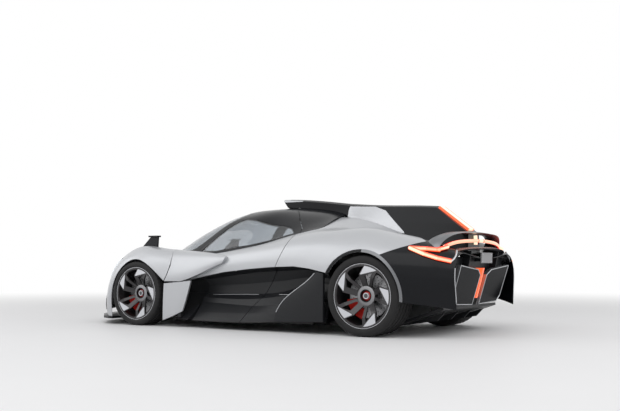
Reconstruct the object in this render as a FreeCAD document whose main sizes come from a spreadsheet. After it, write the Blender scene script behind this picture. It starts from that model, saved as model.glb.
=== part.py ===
import FreeCAD, Part
import Sketcher
import math
import os

# Low two-seat supercar with butterfly doors, a roof scoop that runs into a tail fin,
# deflector blades behind the front wheels and open wing blades over the tail.
# Frame: +X to the nose, +Y to the left, +Z up, origin on the floor below the middle of the body.

os.makedirs("parts", exist_ok=True)
document = FreeCAD.newDocument("Supercar")
Vector = FreeCAD.Vector
across = Vector(0, 1, 0)
along = Vector(1, 0, 0)
upward = Vector(0, 0, 1)
middle = Vector(0, 0, 0)

# Driving dimensions, in millimetres.
# The body lines are drawn on a grid: stations along X, buttock lines across Y, waterlines up Z.
sizes = {
    "station_pitch": 100,
    "buttock_pitch": 100,
    "waterline_pitch": 100,
    "panel_thickness": 6,
    "door_thickness": 40,
    "roof_thickness": 14,
    "glass_thickness": 4,
    "shut_gap": 6,
    "seat_clearance": 0.3,
    "front_tyre_radius": 332,
    "front_tyre_width": 250,
    "front_rim_radius": 262,
    "front_lip_radius": 271,
    "rear_tyre_radius": 356,
    "rear_tyre_width": 320,
    "rear_rim_radius": 275,
    "rear_lip_radius": 284,
    "front_track_half": 829,
    "rear_track_half": 818,
    "rim_wall": 9,
    "sidewall_bulge": 7,
    "tread_shoulder": 26,
    "web_thickness": 12,
    "facet_height": 3,
    "rim_dish": 100,
    "hub_radius": 52,
    "hub_depth": 30,
    "nut_radius": 28,
    "nut_length": 26,
    "ring_radius": 33,
    "ring_depth": 8,
    "disc_room": 62,
    "disc_thickness": 34,
    "disc_bell_radius": 92,
    "disc_inset": 10,
    "axle_radius": 20,
    "axle_bore_clearance": 0.05,
    "carrier_radius": 62,
    "carrier_depth": 70,
    "kingpin_radius": 14,
    "kingpin_half": 120,
    "arm_radius": 16,
    "caliper_thickness": 46,
}

sheet = document.addObject("Spreadsheet::Sheet", "Sizes")
for row, (name, value) in enumerate(sizes.items(), start=1):
    sheet.set(f"A{row}", name)
    sheet.set(f"B{row}", str(value))
    sheet.setAlias(f"B{row}", name)
document.recompute()


def size(name):
    return float(sheet.get(name))


station_pitch = size("station_pitch")
buttock_pitch = size("buttock_pitch")
waterline_pitch = size("waterline_pitch")
panel = size("panel_thickness")
gap = size("shut_gap")
seat = size("seat_clearance")

door_thickness = size("door_thickness")
roof_thickness = size("roof_thickness")
front_axle_share = 12.7
rear_axle_share = -14.5
front_axle_x = front_axle_share * station_pitch
rear_axle_x = rear_axle_share * station_pitch

nodes = []


def at(station, buttock, waterline):
    return Vector(station * station_pitch, buttock * buttock_pitch, waterline * waterline_pitch)


def keep(name, shape):
    piece = document.addObject("Part::Feature", name)
    piece.Label = name
    piece.Shape = shape
    piece.Placement = FreeCAD.Placement()
    nodes.append(piece)
    return piece


def mirrored(shape):
    return shape.mirror(middle, across)


def both_sides(name, shape):
    keep(name + "_left", shape)
    keep(name + "_right", mirrored(shape))


def keep_pair(name, shape):
    """The same piece on both sides of the car, kept as one node."""
    keep(name, Part.Compound(shape.Solids + mirrored(shape).Solids))


def fine_line(points, steps):
    """Points of a smooth line through the given points, with steps pieces between neighbours."""
    curve = Part.BSplineCurve()
    curve.interpolate(points)
    knots = curve.getKnots()
    fine = []
    for low, high in zip(knots[:-1], knots[1:]):
        for step in range(steps):
            fine.append(curve.value(low + (high - low) * step / steps))
    fine.append(curve.value(knots[-1]))
    return fine


def fine_grid(rows, steps_along, steps_over):
    """A denser grid on the smooth surface through the rows of points."""
    wide = [fine_line(row, steps_over) for row in rows]
    columns = [fine_line(list(column), steps_along) for column in zip(*wide)]
    return [list(row) for row in zip(*columns)]


heart = 4 * waterline_pitch


def grid_normals(grid):
    """Unit normals at the points of a grid, turned to point out of the car."""
    normals = []
    outwards = 0
    last_row = len(grid) - 1
    last_column = len(grid[0]) - 1
    for i, row in enumerate(grid):
        line = []
        for j, point in enumerate(row):
            down = grid[min(i + 1, last_row)][j] - grid[max(i - 1, 0)][j]
            over = row[min(j + 1, last_column)] - row[max(j - 1, 0)]
            normal = down.cross(over).normalize()
            line.append(normal)
            outwards += normal.dot(Vector(0, point.y, point.z - heart))
        normals.append(line)
    turn = 1 if outwards > 0 else -1
    return [[normal * turn for normal in line] for line in normals]


def lifted(grid, height):
    return [
        [point + normal * height for point, normal in zip(row, line)]
        for row, line in zip(grid, grid_normals(grid))
    ]


def surface_of(grid):
    surface = Part.BSplineSurface()
    surface.interpolate(grid)
    return surface


def edges_of(surface):
    first_u, last_u, first_v, last_v = surface.bounds()
    isos = [surface.uIso(first_u), surface.uIso(last_u), surface.vIso(first_v), surface.vIso(last_v)]
    return [iso.toShape() for iso in isos]


def plate_between(upper_grid, lower_grid):
    """A closed solid between two grids of points of like size."""
    upper = surface_of(upper_grid)
    lower = surface_of(lower_grid)
    faces = [upper.toShape(), lower.toShape()]
    for first, second in zip(edges_of(upper), edges_of(lower)):
        faces.append(Part.makeRuledSurface(first, second))
    shell = Part.Compound(faces)
    shell.sewShape()
    solid = Part.makeSolid(shell.Shells[0])
    if solid.Volume < 0:
        solid.reverse()
    return solid


def skin(grid, lift, thickness):
    """A panel: its outer face is lifted off the grid, its inner face lies a thickness below."""
    return plate_between(lifted(grid, lift), lifted(grid, lift - thickness))


def moved_in_section(rows, height):
    """Rows lifted off their surface, each kept in its own plane across the car."""
    return [
        [Vector(point.x, moved.y, moved.z) for point, moved in zip(row, line)]
        for row, line in zip(rows, lifted(rows, height))
    ]


def creased_skin(rows, thickness):
    """A panel whose columns are creases along the car, with flat strips between them."""
    outer = rows
    inner = moved_in_section(rows, -thickness)
    outer_edges = [guide_edge(column) for column in zip(*outer)]
    inner_edges = [guide_edge(column) for column in zip(*inner)]
    faces = []
    for edges in (outer_edges, inner_edges):
        for first, second in zip(edges[:-1], edges[1:]):
            faces.append(Part.makeRuledSurface(first, second))
    for end in (0, -1):
        faces.append(Part.makeRuledSurface(outer_edges[end], inner_edges[end]))
        ring = outer[end] + inner[end][::-1]
        faces.append(Part.Face(Part.makePolygon(ring + [ring[0]])))
    shell = Part.Compound(faces)
    shell.sewShape()
    solid = Part.makeSolid(shell.Shells[0])
    if solid.Volume < 0:
        solid.reverse()
    return solid


def guide_edge(points):
    curve = Part.BSplineCurve()
    curve.interpolate(list(points))
    return curve.toShape()


def prism(points, direction):
    face = Part.Face(Part.makePolygon(points + [points[0]]))
    return face.extrude(direction)


def side_prism(outline, low_buttock, high_buttock, slant=0.0):
    """A cutter through an outline of stations and waterlines. It leans forward on its way in."""
    depth = (high_buttock - low_buttock) * buttock_pitch
    points = [at(station, high_buttock, waterline) for station, waterline in outline]
    return prism(points, Vector(slant * depth, -depth, 0))


def block(shares):
    """A box from its two corners, each a station, a buttock and a waterline."""
    low, high = (at(*corner) for corner in shares)
    run = high - low
    return Part.makeBox(run.x, run.y, run.z, low)


def top_prism(outline, low_waterline, high_waterline):
    height = (high_waterline - low_waterline) * waterline_pitch
    points = [at(station, buttock, low_waterline) for station, buttock in outline]
    return prism(points, Vector(0, 0, height))


def solids_of(shape):
    """The pieces of a cut, without slivers."""
    pieces = sorted(shape.Solids, key=lambda piece: -piece.Volume)
    smallest_share = 0.02
    wanted = [piece for piece in pieces if piece.Volume > smallest_share * pieces[0].Volume]
    return wanted[0] if len(wanted) == 1 else Part.Compound(wanted)


def rows_from(table_shares):
    """Rows of grid points from a table: a station, then buttock and waterline pairs."""
    return [
        [at(station, buttock, waterline) for buttock, waterline in pairs]
        for station, pairs in table_shares
    ]


# Front clam: nose, bonnet and both front wings in one panel.
# Each line runs from the lower front edge over the top to the rear shut line.
clam_line_shares = [
    [(16.15, 9.4, 0.85), (16.3, 9.4, 2.4), (16.2, 9.45, 3.6), (15.6, 9.5, 5.1),
     (14.35, 9.5, 6.35), (12.7, 9.5, 6.9), (10.85, 9.45, 6.15), (9.0, 9.3, 4.65)],
    [(16.8, 9.2, 0.85), (16.95, 9.25, 2.4), (16.75, 9.3, 3.95), (16.0, 9.3, 5.4),
     (14.7, 9.3, 6.65), (12.8, 9.3, 7.12), (10.8, 9.2, 6.8), (8.5, 8.98, 6.2)],
    [(17.6, 8.6, 0.85), (17.8, 8.6, 2.4), (17.5, 8.6, 4.25), (16.6, 8.6, 5.9),
     (15.2, 8.55, 7.1), (13.2, 8.5, 7.78), (11.0, 8.5, 7.7), (8.5, 8.4, 7.25)],
    [(18.6, 7.5, 0.9), (18.8, 7.5, 2.4), (18.45, 7.5, 4.5), (17.5, 7.45, 6.25),
     (16.0, 7.4, 7.45), (14.1, 7.4, 8.2), (11.5, 7.45, 8.18), (8.8, 7.5, 7.86)],
    [(20.2, 6.2, 1.1), (20.35, 6.2, 2.4), (19.95, 6.2, 3.8), (18.9, 6.2, 5.2),
     (17.2, 6.1, 6.4), (15.2, 6.0, 7.15), (12.9, 6.0, 7.4), (9.9, 6.5, 7.55)],
    [(21.2, 4.6, 1.3), (21.4, 4.6, 2.4), (21.0, 4.7, 3.4), (19.8, 4.8, 4.4),
     (18.0, 4.8, 5.25), (16.0, 4.8, 5.95), (13.8, 4.9, 6.5), (11.2, 5.3, 7.15)],
    [(22.0, 2.6, 1.4), (22.25, 2.6, 2.4), (21.9, 2.6, 3.4), (20.5, 2.6, 4.35),
     (18.4, 2.6, 5.25), (16.3, 2.7, 6.0), (14.2, 2.8, 6.7), (12.2, 3.0, 7.3)],
]
clam_middle_shares = [
    (22.3, 0.0, 1.5), (22.6, 0.0, 2.4), (22.25, 0.0, 3.4), (20.8, 0.0, 4.4),
    (18.6, 0.0, 5.3), (16.4, 0.0, 6.05), (14.3, 0.0, 6.8), (12.6, 0.0, 7.4),
]


clam_steps_along = 2
clam_steps_over = 3


def clam_grid():
    left = [[at(*point) for point in line] for line in clam_line_shares]
    centre = [[at(*point) for point in clam_middle_shares]]
    right = [[Vector(point.x, -point.y, point.z) for point in line] for line in reversed(left)]
    return fine_grid(left + centre + right, clam_steps_along, clam_steps_over)


clam_points = clam_grid()
clam_skin = skin(clam_points, 0, panel)

# Body side between the front shut line and the tail, as one smooth surface from the tail fin's
# foot over the shoulder down to the sill. The columns run from the middle outwards.
side_shares = [
    (9.4, [(2.4, 7.0), (4.0, 7.1), (5.4, 7.3), (6.9, 7.45), (7.6, 7.25), (7.95, 6.6),
           (8.0, 5.7), (8.0, 4.8), (7.9, 3.9)]),
    (6.2, [(2.4, 7.0), (4.0, 7.1), (5.4, 7.3), (6.95, 7.4), (7.7, 7.2), (8.05, 6.5),
           (8.1, 5.7), (8.05, 4.8), (7.95, 3.9)]),
    (4.0, [(2.4, 7.2), (4.0, 7.3), (5.4, 7.4), (7.0, 7.45), (7.85, 7.2), (8.2, 6.5),
           (8.2, 5.7), (8.15, 4.8), (8.05, 3.9)]),
    (1.8, [(2.4, 7.9), (4.0, 7.9), (5.4, 7.85), (7.0, 7.75), (8.0, 7.28), (8.4, 6.6),
           (8.45, 5.7), (8.4, 4.8), (8.3, 3.9)]),
    (-1.05, [(2.4, 8.7), (4.0, 8.6), (5.4, 8.4), (7.0, 8.18), (8.0, 7.78), (8.62, 6.95),
             (8.72, 6.0), (8.7, 4.9), (8.55, 3.9)]),
    (-3.45, [(2.4, 9.6), (4.0, 9.4), (5.4, 9.05), (7.0, 8.68), (8.0, 8.24), (8.8, 7.3),
             (8.95, 6.15), (8.92, 4.95), (8.8, 3.9)]),
    (-6.0, [(2.4, 10.6), (3.9, 10.2), (5.3, 9.8), (6.75, 9.3), (8.0, 8.75), (9.0, 7.6),
            (9.2, 6.25), (9.2, 5.0), (9.05, 3.9)]),
    (-8.6, [(2.4, 10.95), (3.8, 10.5), (5.1, 10.05), (6.3, 9.66), (8.0, 9.1), (9.12, 7.85),
            (9.45, 6.35), (9.45, 5.1), (9.35, 3.9)]),
    (-11.5, [(2.3, 10.45), (3.4, 9.95), (4.5, 9.68), (5.8, 9.6), (7.5, 9.5), (9.1, 8.3),
             (9.72, 6.8), (9.8, 5.3), (9.75, 3.9)]),
    (-14.4, [(2.1, 9.4), (3.3, 9.1), (4.4, 9.12), (5.6, 9.35), (7.2, 9.5), (9.1, 8.35),
             (9.85, 7.1), (9.95, 5.4), (9.85, 3.7)]),
    (-16.6, [(2.0, 8.7), (3.2, 8.5), (4.2, 8.62), (5.4, 8.95), (6.9, 9.08), (9.0, 8.05),
             (9.85, 6.95), (10.0, 5.3), (9.85, 3.4)]),
    (-19.0, [(1.9, 8.0), (3.0, 7.95), (4.1, 8.12), (5.3, 8.45), (6.5, 8.55), (8.4, 7.75),
             (9.35, 6.7), (9.55, 5.1), (9.3, 3.0)]),
    (-21.0, [(1.8, 7.4), (2.8, 7.45), (3.8, 7.62), (4.9, 7.82), (5.8, 7.88), (7.2, 7.35),
             (8.0, 6.4), (8.15, 4.9), (7.9, 2.7)]),
    (-22.2, [(1.8, 7.0), (2.7, 7.05), (3.7, 7.18), (4.8, 7.3), (5.5, 7.32), (6.6, 6.9),
             (7.15, 6.1), (7.25, 4.7), (6.9, 2.5)]),
]
grid_steps = 2
side_points = fine_grid(rows_from(side_shares), grid_steps, grid_steps)
side_door = skin(side_points, 0, door_thickness)
side_panel = skin(side_points, 0, panel)

# Cut lines seen from the side, as stations and waterlines at the door skin.
band_foot_shares = [(8.3, 4.4), (6.43, 4.79), (4.59, 5.16), (1.87, 5.58), (-1.44, 5.89), (-4.29, 6.08)]
haunch_foot_shares = [(-4.29, 6.08), (-7.02, 6.15), (-8.87, 5.95), (-10.66, 5.6), (-11.2, 5.4)]
rear_cut_shares = [(-6.0, 10.4), (-6.0, 9.4), (-5.75, 8.75), (-5.2, 7.6), (-4.35, 6.05)]
lower_cut_shares = [(-4.35, 6.15), (-2.3, 3.05), (-1.4, 2.25), (-0.42, 0.81), (0.0, 0.0)]


def leaning_cutter(outline, far, near, lean):
    """A cutter through an outline at a body side. Its edges lean together on their way in."""
    outer = []
    inner = []
    for station, waterline, side in outline:
        outer.append(at(station - side * lean * (far - near) / 2, far, waterline))
        inner.append(at(station + side * lean * (far - near) / 2, near, waterline))
    wires = [Part.makePolygon(points + [points[0]]) for points in (outer, inner)]
    return Part.makeLoft(wires, True, True)


front_edge_shares = [(8.96, 9.0), (8.9, 7.9), (8.35, 7.2), (8.06, 6.2), (8.2, 5.3), (8.53, 4.62)]
door_toe_shares = [(5.5, 4.62), (5.5, 0.5)]


def door_outline(grow):
    """The door seen from the side. Each corner ends with the way its edge leans on its way in."""
    step = grow / station_pitch
    drop = grow / waterline_pitch
    front = [(station + step, waterline, -1) for station, waterline in front_edge_shares]
    (toe_station, toe_top), (toe_station, toe_low) = door_toe_shares
    under = [(toe_station + step, toe_top - drop, -1), (toe_station + step, toe_low, -1)]
    rear = [(station - step, waterline, 1) for station, waterline in reversed(lower_cut_shares)]
    upper = [(station - step, waterline, 1) for station, waterline in reversed(rear_cut_shares)]
    return front + under + rear[:-1] + upper


door_lean_share = 0.3
door_far_share = 10.6
door_near_share = 5.0
door_space = leaning_cutter(door_outline(0), door_far_share, door_near_share, door_lean_share)
door_hole = leaning_cutter(door_outline(gap), door_far_share, door_near_share, door_lean_share)
keep("front_clam", solids_of(clam_skin.cut(door_hole).cut(mirrored(door_hole))))

# The belt line, where the black canopy stands on the body, seen from above.
belt_shares = [(9.4, 7.4), (6.5, 7.15), (4.0, 7.02), (-3.1, 7.02), (-5.66, 6.82), (-6.78, 6.55),
               (-7.87, 6.0), (-8.0, 5.0), (-8.1, 3.0), (-7.7, 2.0)]


belt_step_share = 0.04
belt_outline = [(station, buttock + belt_step_share) for station, buttock in belt_shares]
low_share, high_share = (0.0, 14.0)
near_share, side_share = (4.5, 11.0)
belt_close_shares = [(-7.7, 0.0), (9.4, 0.0)]
belt_cutter = top_prism(belt_outline + belt_close_shares, low_share, high_share)
tail_from_share = 2.0
tail_outline = [(station, buttock) for station, buttock in belt_outline if station < tail_from_share]
tail_start_shares = [(2.0, 12.0), (2.0, 7.06)]
tail_close_shares = [(-7.7, 0.0), (-23.0, 0.0), (-23.0, 12.0)]
tail_space = top_prism(tail_start_shares + tail_outline + tail_close_shares, low_share, high_share)
low_start_shares = [(9.5, 0.0), (9.5, 4.2)]
low_close_shares = [(-11.2, 0.0)]
low_outline = low_start_shares + band_foot_shares + haunch_foot_shares[1:] + low_close_shares
low_cutter = side_prism(low_outline, near_share, side_share)
arch_centre_share = (-14.35, 5.0, 3.6)
arch_radius = 3.8 * station_pitch
arch_depth = 6 * buttock_pitch
arch_cutter = Part.makeCylinder(arch_radius, arch_depth, at(*arch_centre_share), across)

band = side_door.common(door_space).cut(belt_cutter).cut(low_cutter)
haunch_side_shares = [(-23.0, 12.5), (-23.0, 9.3), (-22.0, 9.05), (-19.75, 8.47), (-16.18, 7.13),
                      (-15.2, 6.2), (-10.4, 0.0), (2.0, 0.0), (2.0, 12.5)]
haunch_near_share = -0.5
white_side = side_prism(haunch_side_shares, haunch_near_share, side_share)
haunch_top_shares = [(2.0, 12.0), (2.0, 0.0), (-14.3, 0.0), (-14.6, 2.0), (-15.9, 4.5), (-19.75, 7.15),
                     (-19.75, 12.0)]
deck_white = top_prism(haunch_top_shares, low_share, high_share)
body_side = side_panel.common(tail_space).cut(door_hole).cut(low_cutter).cut(arch_cutter)
haunch = body_side.common(white_side).common(deck_white)
quarter = body_side.cut(haunch)
keep_pair("rear_quarters", solids_of(quarter))

# Raised lip round the rear wheel opening.
flare_radius = 4.06 * station_pitch
flare_lift = 2 * seat + panel
flare_ring = Part.makeCylinder(flare_radius, arch_depth, at(*arch_centre_share), across).cut(arch_cutter)
flare = skin(side_points, flare_lift, panel).common(flare_ring).cut(low_cutter)
keep_pair("arch_lips", solids_of(flare))

# Blade behind the front wheel: it stands proud of the door and ends in a swept tip.
blade_line_shares = [
    [(9.3, 7.5, 7.92), (6.8, 7.25, 7.72), (4.1, 7.6, 7.5), (1.62, 8.35, 7.18)],
    [(9.1, 8.2, 7.54), (6.5, 8.05, 7.42), (3.9, 8.25, 7.28), (1.55, 8.55, 7.08)],
    [(9.0, 8.9, 6.38), (6.2, 8.75, 6.45), (3.8, 8.72, 6.65), (1.62, 8.7, 6.85)],
    [(9.2, 9.27, 5.05), (6.0, 9.02, 5.35), (3.6, 8.85, 6.05), (1.8, 8.72, 6.55)],
    [(9.4, 9.3, 4.6), (5.9, 9.0, 4.92), (3.5, 8.82, 5.85), (1.88, 8.7, 6.45)],
]
blade_rows = [[at(*point) for point in line] for line in blade_line_shares]
blade_steps_along = 3
blade_steps_over = 4
blade_points = fine_grid(blade_rows, blade_steps_along, blade_steps_over)
foot_clearance = 6 * seat
side_surface = surface_of(lifted(side_points, foot_clearance))
first_u, last_u, first_v, last_v = side_surface.bounds()
side_turn = math.copysign(1, side_surface.normal((first_u + last_u) / 2, (first_v + last_v) / 2).y)
blade_feet = [[side_surface.value(*side_surface.parameter(point)) for point in row] for row in blade_points]
blade = plate_between(blade_points, blade_feet).common(door_space)
both_sides("door_blade", solids_of(blade))

# Deflector plate behind the front wheel, below the blade.
plate_line_shares = [
    [(8.98, 9.27, 4.4), (7.3, 9.15, 4.53), (5.64, 9.0, 4.7)],
    [(9.02, 9.32, 2.6), (7.6, 9.24, 2.75), (6.1, 9.08, 3.0)],
    [(9.0, 9.35, 0.67), (7.8, 9.3, 1.1), (6.59, 9.1, 1.63)],
]
plate_rows = [[at(*point) for point in line] for line in plate_line_shares]
plate_thickness = 0.22 * buttock_pitch
plate_steps = 3
plate_points = fine_grid(plate_rows, plate_steps, plate_steps)
plate_room = skin(plate_points, seat, plate_thickness + 2 * seat)
keep_pair("deflector_plates", skin(plate_points, 0, plate_thickness))

# Lower side: a hollowed channel under the band, a lip, and a sloping sill.
lower_shares = [
    (5.3, [(7.9, 5.0), (7.0, 4.75), (6.6, 4.2), (6.7, 3.4), (7.3, 2.95),
           (7.45, 2.5), (8.3, 1.6), (9.05, 0.8)]),
    (2.6, [(8.05, 5.45), (7.0, 5.1), (6.65, 4.3), (6.8, 3.4), (7.5, 2.93),
           (7.7, 2.46), (8.6, 1.6), (9.3, 0.8)]),
    (0.0, [(8.35, 5.8), (7.3, 5.4), (6.9, 4.4), (7.0, 3.4), (7.72, 2.92),
           (7.95, 2.35), (8.75, 1.6), (9.5, 0.81)]),
    (-2.5, [(8.65, 6.0), (7.6, 5.6), (7.15, 4.6), (7.25, 3.5), (8.0, 3.05),
            (8.2, 2.35), (8.9, 1.65), (9.45, 0.85)]),
    (-5.0, [(8.85, 6.1), (7.8, 5.7), (7.35, 4.8), (7.45, 3.8), (8.1, 3.35),
            (8.3, 2.6), (8.85, 1.75), (9.12, 0.95)]),
    (-7.4, [(9.0, 6.1), (7.9, 5.8), (7.5, 5.1), (7.55, 4.4), (7.95, 3.7),
            (8.2, 2.8), (8.75, 1.85), (9.05, 1.05)]),
    (-9.0, [(9.1, 5.9), (8.1, 5.7), (7.7, 5.1), (7.7, 4.5), (8.0, 3.8),
            (8.2, 2.9), (8.75, 1.9), (9.05, 1.1)]),
    (-10.4, [(9.2, 5.55), (8.5, 5.4), (8.1, 5.0), (8.0, 4.5), (8.1, 3.8),
             (8.3, 2.9), (8.75, 1.9), (9.05, 1.13)]),
]
lower_thickness = 0.14 * buttock_pitch
lower_skin = creased_skin(rows_from(lower_shares), lower_thickness)
side_door_clear = skin(side_points, seat, door_thickness + 2 * seat)
door_lower = lower_skin.common(door_space).cut(side_door_clear)
both_sides("door_lower", solids_of(door_lower))
door_front_shares = [(0.5, -1.0), (0.5, 7.0), (9.0, 7.0), (9.0, -1.0)]
sill = lower_skin.cut(door_hole).cut(side_prism(door_front_shares, near_share, side_share))
sill = sill.cut(skin(side_points, seat, 2 * panel)).cut(arch_cutter)
keep_pair("side_intakes", solids_of(sill))

# Dark panel that stands off the hollow of the side ahead of the rear wheel.
pod_line_shares = [
    [(-10.45, 9.62, 5.5), (-10.0, 9.57, 5.6), (-9.6, 9.52, 5.68)],
    [(-10.5, 9.7, 4.0), (-8.9, 9.6, 4.1), (-7.6, 9.42, 4.15)],
    [(-10.5, 9.74, 2.4), (-8.0, 9.62, 2.45), (-5.5, 9.4, 2.5)],
    [(-10.5, 9.72, 1.15), (-7.8, 9.64, 1.08), (-5.0, 9.5, 1.0)],
]
pod_rows = [[at(*point) for point in line] for line in pod_line_shares]
pod_thickness = 0.3 * buttock_pitch
pod = skin(fine_grid(pod_rows, plate_steps, plate_steps), 0, pod_thickness).cut(arch_cutter)
pod_bracket_shares = [
    ((-10.2, 8.0, 2.9), (-9.9, 9.55, 3.2)),
    ((-6.7, 8.4, 1.9), (-6.4, 9.4, 2.15)),
]
lower_rows = moved_in_section(rows_from(lower_shares), seat)
lower_room = creased_skin(lower_rows, lower_thickness + 2 * seat)
pod = pod.fuse([block(corners) for corners in pod_bracket_shares]).cut(lower_room)
keep_pair("side_pods", max(pod.Solids, key=lambda piece: piece.Volume))

# Sloping toe of the sill, fixed ahead of the door. It carries the deflector plate.
toe_shares = [
    (5.6, [(6.803, 0.8), (6.803, 1.05), (7.5, 1.05), (7.5, 2.35), (8.3, 1.55), (9.05, 0.86), (9.05, 0.8)]),
    (7.5, [(6.803, 0.8), (6.803, 1.0), (8.5, 1.0), (8.6, 1.1), (8.75, 0.98), (8.95, 0.84), (8.95, 0.8)]),
]
toe_bracket_shares = ((6.8, 8.3, 1.0), (7.2, 9.1, 1.5))


def one_sided_loft(table_shares, ruled):
    """A solid through sections across the car from buttock and waterline pairs."""
    wires = [Part.makePolygon(row + [row[0]]) for row in rows_from(table_shares)]
    return Part.makeLoft(wires, True, ruled)


sill_toe = one_sided_loft(toe_shares, True).fuse(block(toe_bracket_shares)).cut(door_hole).cut(plate_room)
keep_pair("sill_toes", max(sill_toe.Solids, key=lambda piece: piece.Volume))

# Canopy: roof, pillars, screen surround and the dark shell behind the doors.
canopy_shares = [
    (12.6, [(0.0, 7.4), (2.5, 7.28), (4.5, 7.0), (5.8, 6.85), (6.6, 6.8), (7.02, 6.75)]),
    (10.6, [(0.0, 8.85), (2.2, 8.7), (4.1, 8.2), (5.4, 7.55), (6.4, 7.1), (7.02, 6.95)]),
    (8.4, [(0.0, 10.02), (2.0, 9.9), (3.8, 9.45), (5.0, 8.72), (6.2, 7.78), (7.02, 7.2)]),
    (6.2, [(0.0, 10.93), (2.0, 10.82), (3.6, 10.45), (4.8, 9.68), (6.15, 8.34), (7.02, 7.35)]),
    (4.0, [(0.0, 11.64), (2.0, 11.53), (3.4, 11.25), (4.7, 10.46), (6.15, 8.8), (7.02, 7.45)]),
    (2.0, [(0.0, 12.0), (1.9, 11.92), (3.3, 11.65), (4.6, 10.95), (6.05, 9.25), (7.02, 7.75)]),
    (0.0, [(0.0, 12.12), (2.0, 12.02), (3.6, 11.7), (4.8, 11.0), (6.05, 9.46), (7.02, 8.02)]),
    (-2.0, [(0.0, 12.18), (2.0, 12.05), (3.7, 11.62), (5.0, 10.7), (6.05, 9.5), (7.02, 8.42)]),
    (-4.0, [(0.0, 12.1), (2.0, 11.9), (3.8, 11.35), (5.35, 10.35), (6.15, 9.6), (7.0, 8.8)]),
    (-6.0, [(0.0, 11.9), (2.0, 11.65), (3.8, 11.05), (5.35, 10.2), (6.15, 9.7), (6.78, 9.28)]),
    (-8.1, [(0.0, 11.5), (1.6, 11.25), (3.0, 10.93), (4.4, 10.45), (5.4, 10.0), (6.0, 9.72)]),
]


def canopy_grid():
    half = rows_from(canopy_shares)
    return [
        [Vector(point.x, -point.y, point.z) for point in reversed(row[1:])] + row for row in half
    ]


canopy_points = fine_grid(canopy_grid(), grid_steps, grid_steps)
roof_room = skin(canopy_points, seat, roof_thickness + 2 * seat)
both_sides("door_band", solids_of(band.cut(roof_room)))
keep_pair("haunches", solids_of(haunch.cut(roof_room)))
roof_skin = skin(canopy_points, 0, roof_thickness)
door_roof_shares = [(1.85, 3.0), (1.9, 3.7), (2.2, 4.15), (3.0, 4.42), (4.0, 4.85), (4.9, 5.4), (5.8, 5.95),
                    (6.3, 6.35), (7.1, 7.1), (7.1, 8.2), (-6.05, 8.2), (-6.05, 6.75), (-5.75, 5.9),
                    (-4.73, 4.79), (-4.42, 4.31), (-4.03, 3.83), (-3.4, 3.0)]
window_shares = [(6.2, 6.78), (5.85, 6.45), (5.55, 6.2), (4.7, 5.65), (4.1, 5.25), (3.4, 4.9), (2.7, 4.67),
                 (1.9, 4.55), (0.7, 4.85), (-0.5, 5.15), (-3.43, 5.57), (-4.45, 5.82), (-4.9, 6.2),
                 (-5.3, 6.6), (-3.0, 6.83), (0.0, 6.86), (4.4, 6.88), (5.3, 6.86)]
screen_shares = [(12.0, 0.0), (11.7, 2.7), (10.9, 4.6), (9.7, 5.9), (8.3, 6.45), (7.2, 6.2), (6.3, 5.68),
                 (5.4, 5.1), (4.4, 4.55), (3.3, 4.02), (2.6, 3.3), (2.75, 2.0), (2.85, 0.0)]
round_corners = 2
roof_low_share = 5.0


def grown_top_prism(outline, grow):
    points = [at(station, buttock, roof_low_share) for station, buttock in outline]
    wire = Part.makePolygon(points + [points[0]])
    if grow:
        wire = wire.makeOffset2D(grow, round_corners)
    height = (high_share - roof_low_share) * waterline_pitch
    return Part.Face(wire).extrude(Vector(0, 0, height))


screen_outline = screen_shares + [(station, -buttock) for station, buttock in reversed(screen_shares[1:-1])]
roof_space = grown_top_prism(door_roof_shares, 0)
roof_hole = grown_top_prism(door_roof_shares, gap)
window_hole = grown_top_prism(window_shares, seat)
screen_hole = grown_top_prism(screen_outline, seat)
door_frame = roof_skin.common(roof_space).cut(window_hole)
both_sides("door_frame", solids_of(door_frame))
glass_lift = -0.03 * waterline_pitch
glass_skin = skin(canopy_points, glass_lift, size("glass_thickness"))
both_sides("door_glass", solids_of(glass_skin.common(grown_top_prism(window_shares, 0))))
keep("windscreen", solids_of(glass_skin.common(grown_top_prism(screen_outline, 0))))
room_depth = 2 * waterline_pitch
clam_room = skin(clam_points, seat, room_depth)
cowl_line_shares = [(12.54, 0.0), (12.14, 3.0), (11.14, 5.3), (9.84, 6.5), (8.74, 7.5), (8.44, 8.4)]
cowl_close_shares = [(14.0, 8.4), (14.0, 0.0)]
cowl_cutter = top_prism(cowl_line_shares + cowl_close_shares, roof_low_share, high_share)
canopy = roof_skin.cut(screen_hole).cut(roof_hole).cut(mirrored(roof_hole)).cut(cowl_cutter)
canopy = canopy.cut(mirrored(cowl_cutter))
keep("canopy", solids_of(canopy))


def section_wire(station, half_outline):
    """A closed section across the car from buttock and waterline pairs of its left half."""
    left = [at(station, buttock, waterline) for buttock, waterline in half_outline]
    right = [at(station, -buttock, waterline) for buttock, waterline in reversed(half_outline)]
    points = left + right
    return Part.makePolygon(points + [points[0]])


def section_loft(table_shares, ruled=False):
    wires = [section_wire(station, half) for station, half in table_shares]
    return Part.makeLoft(wires, True, ruled)


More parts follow.
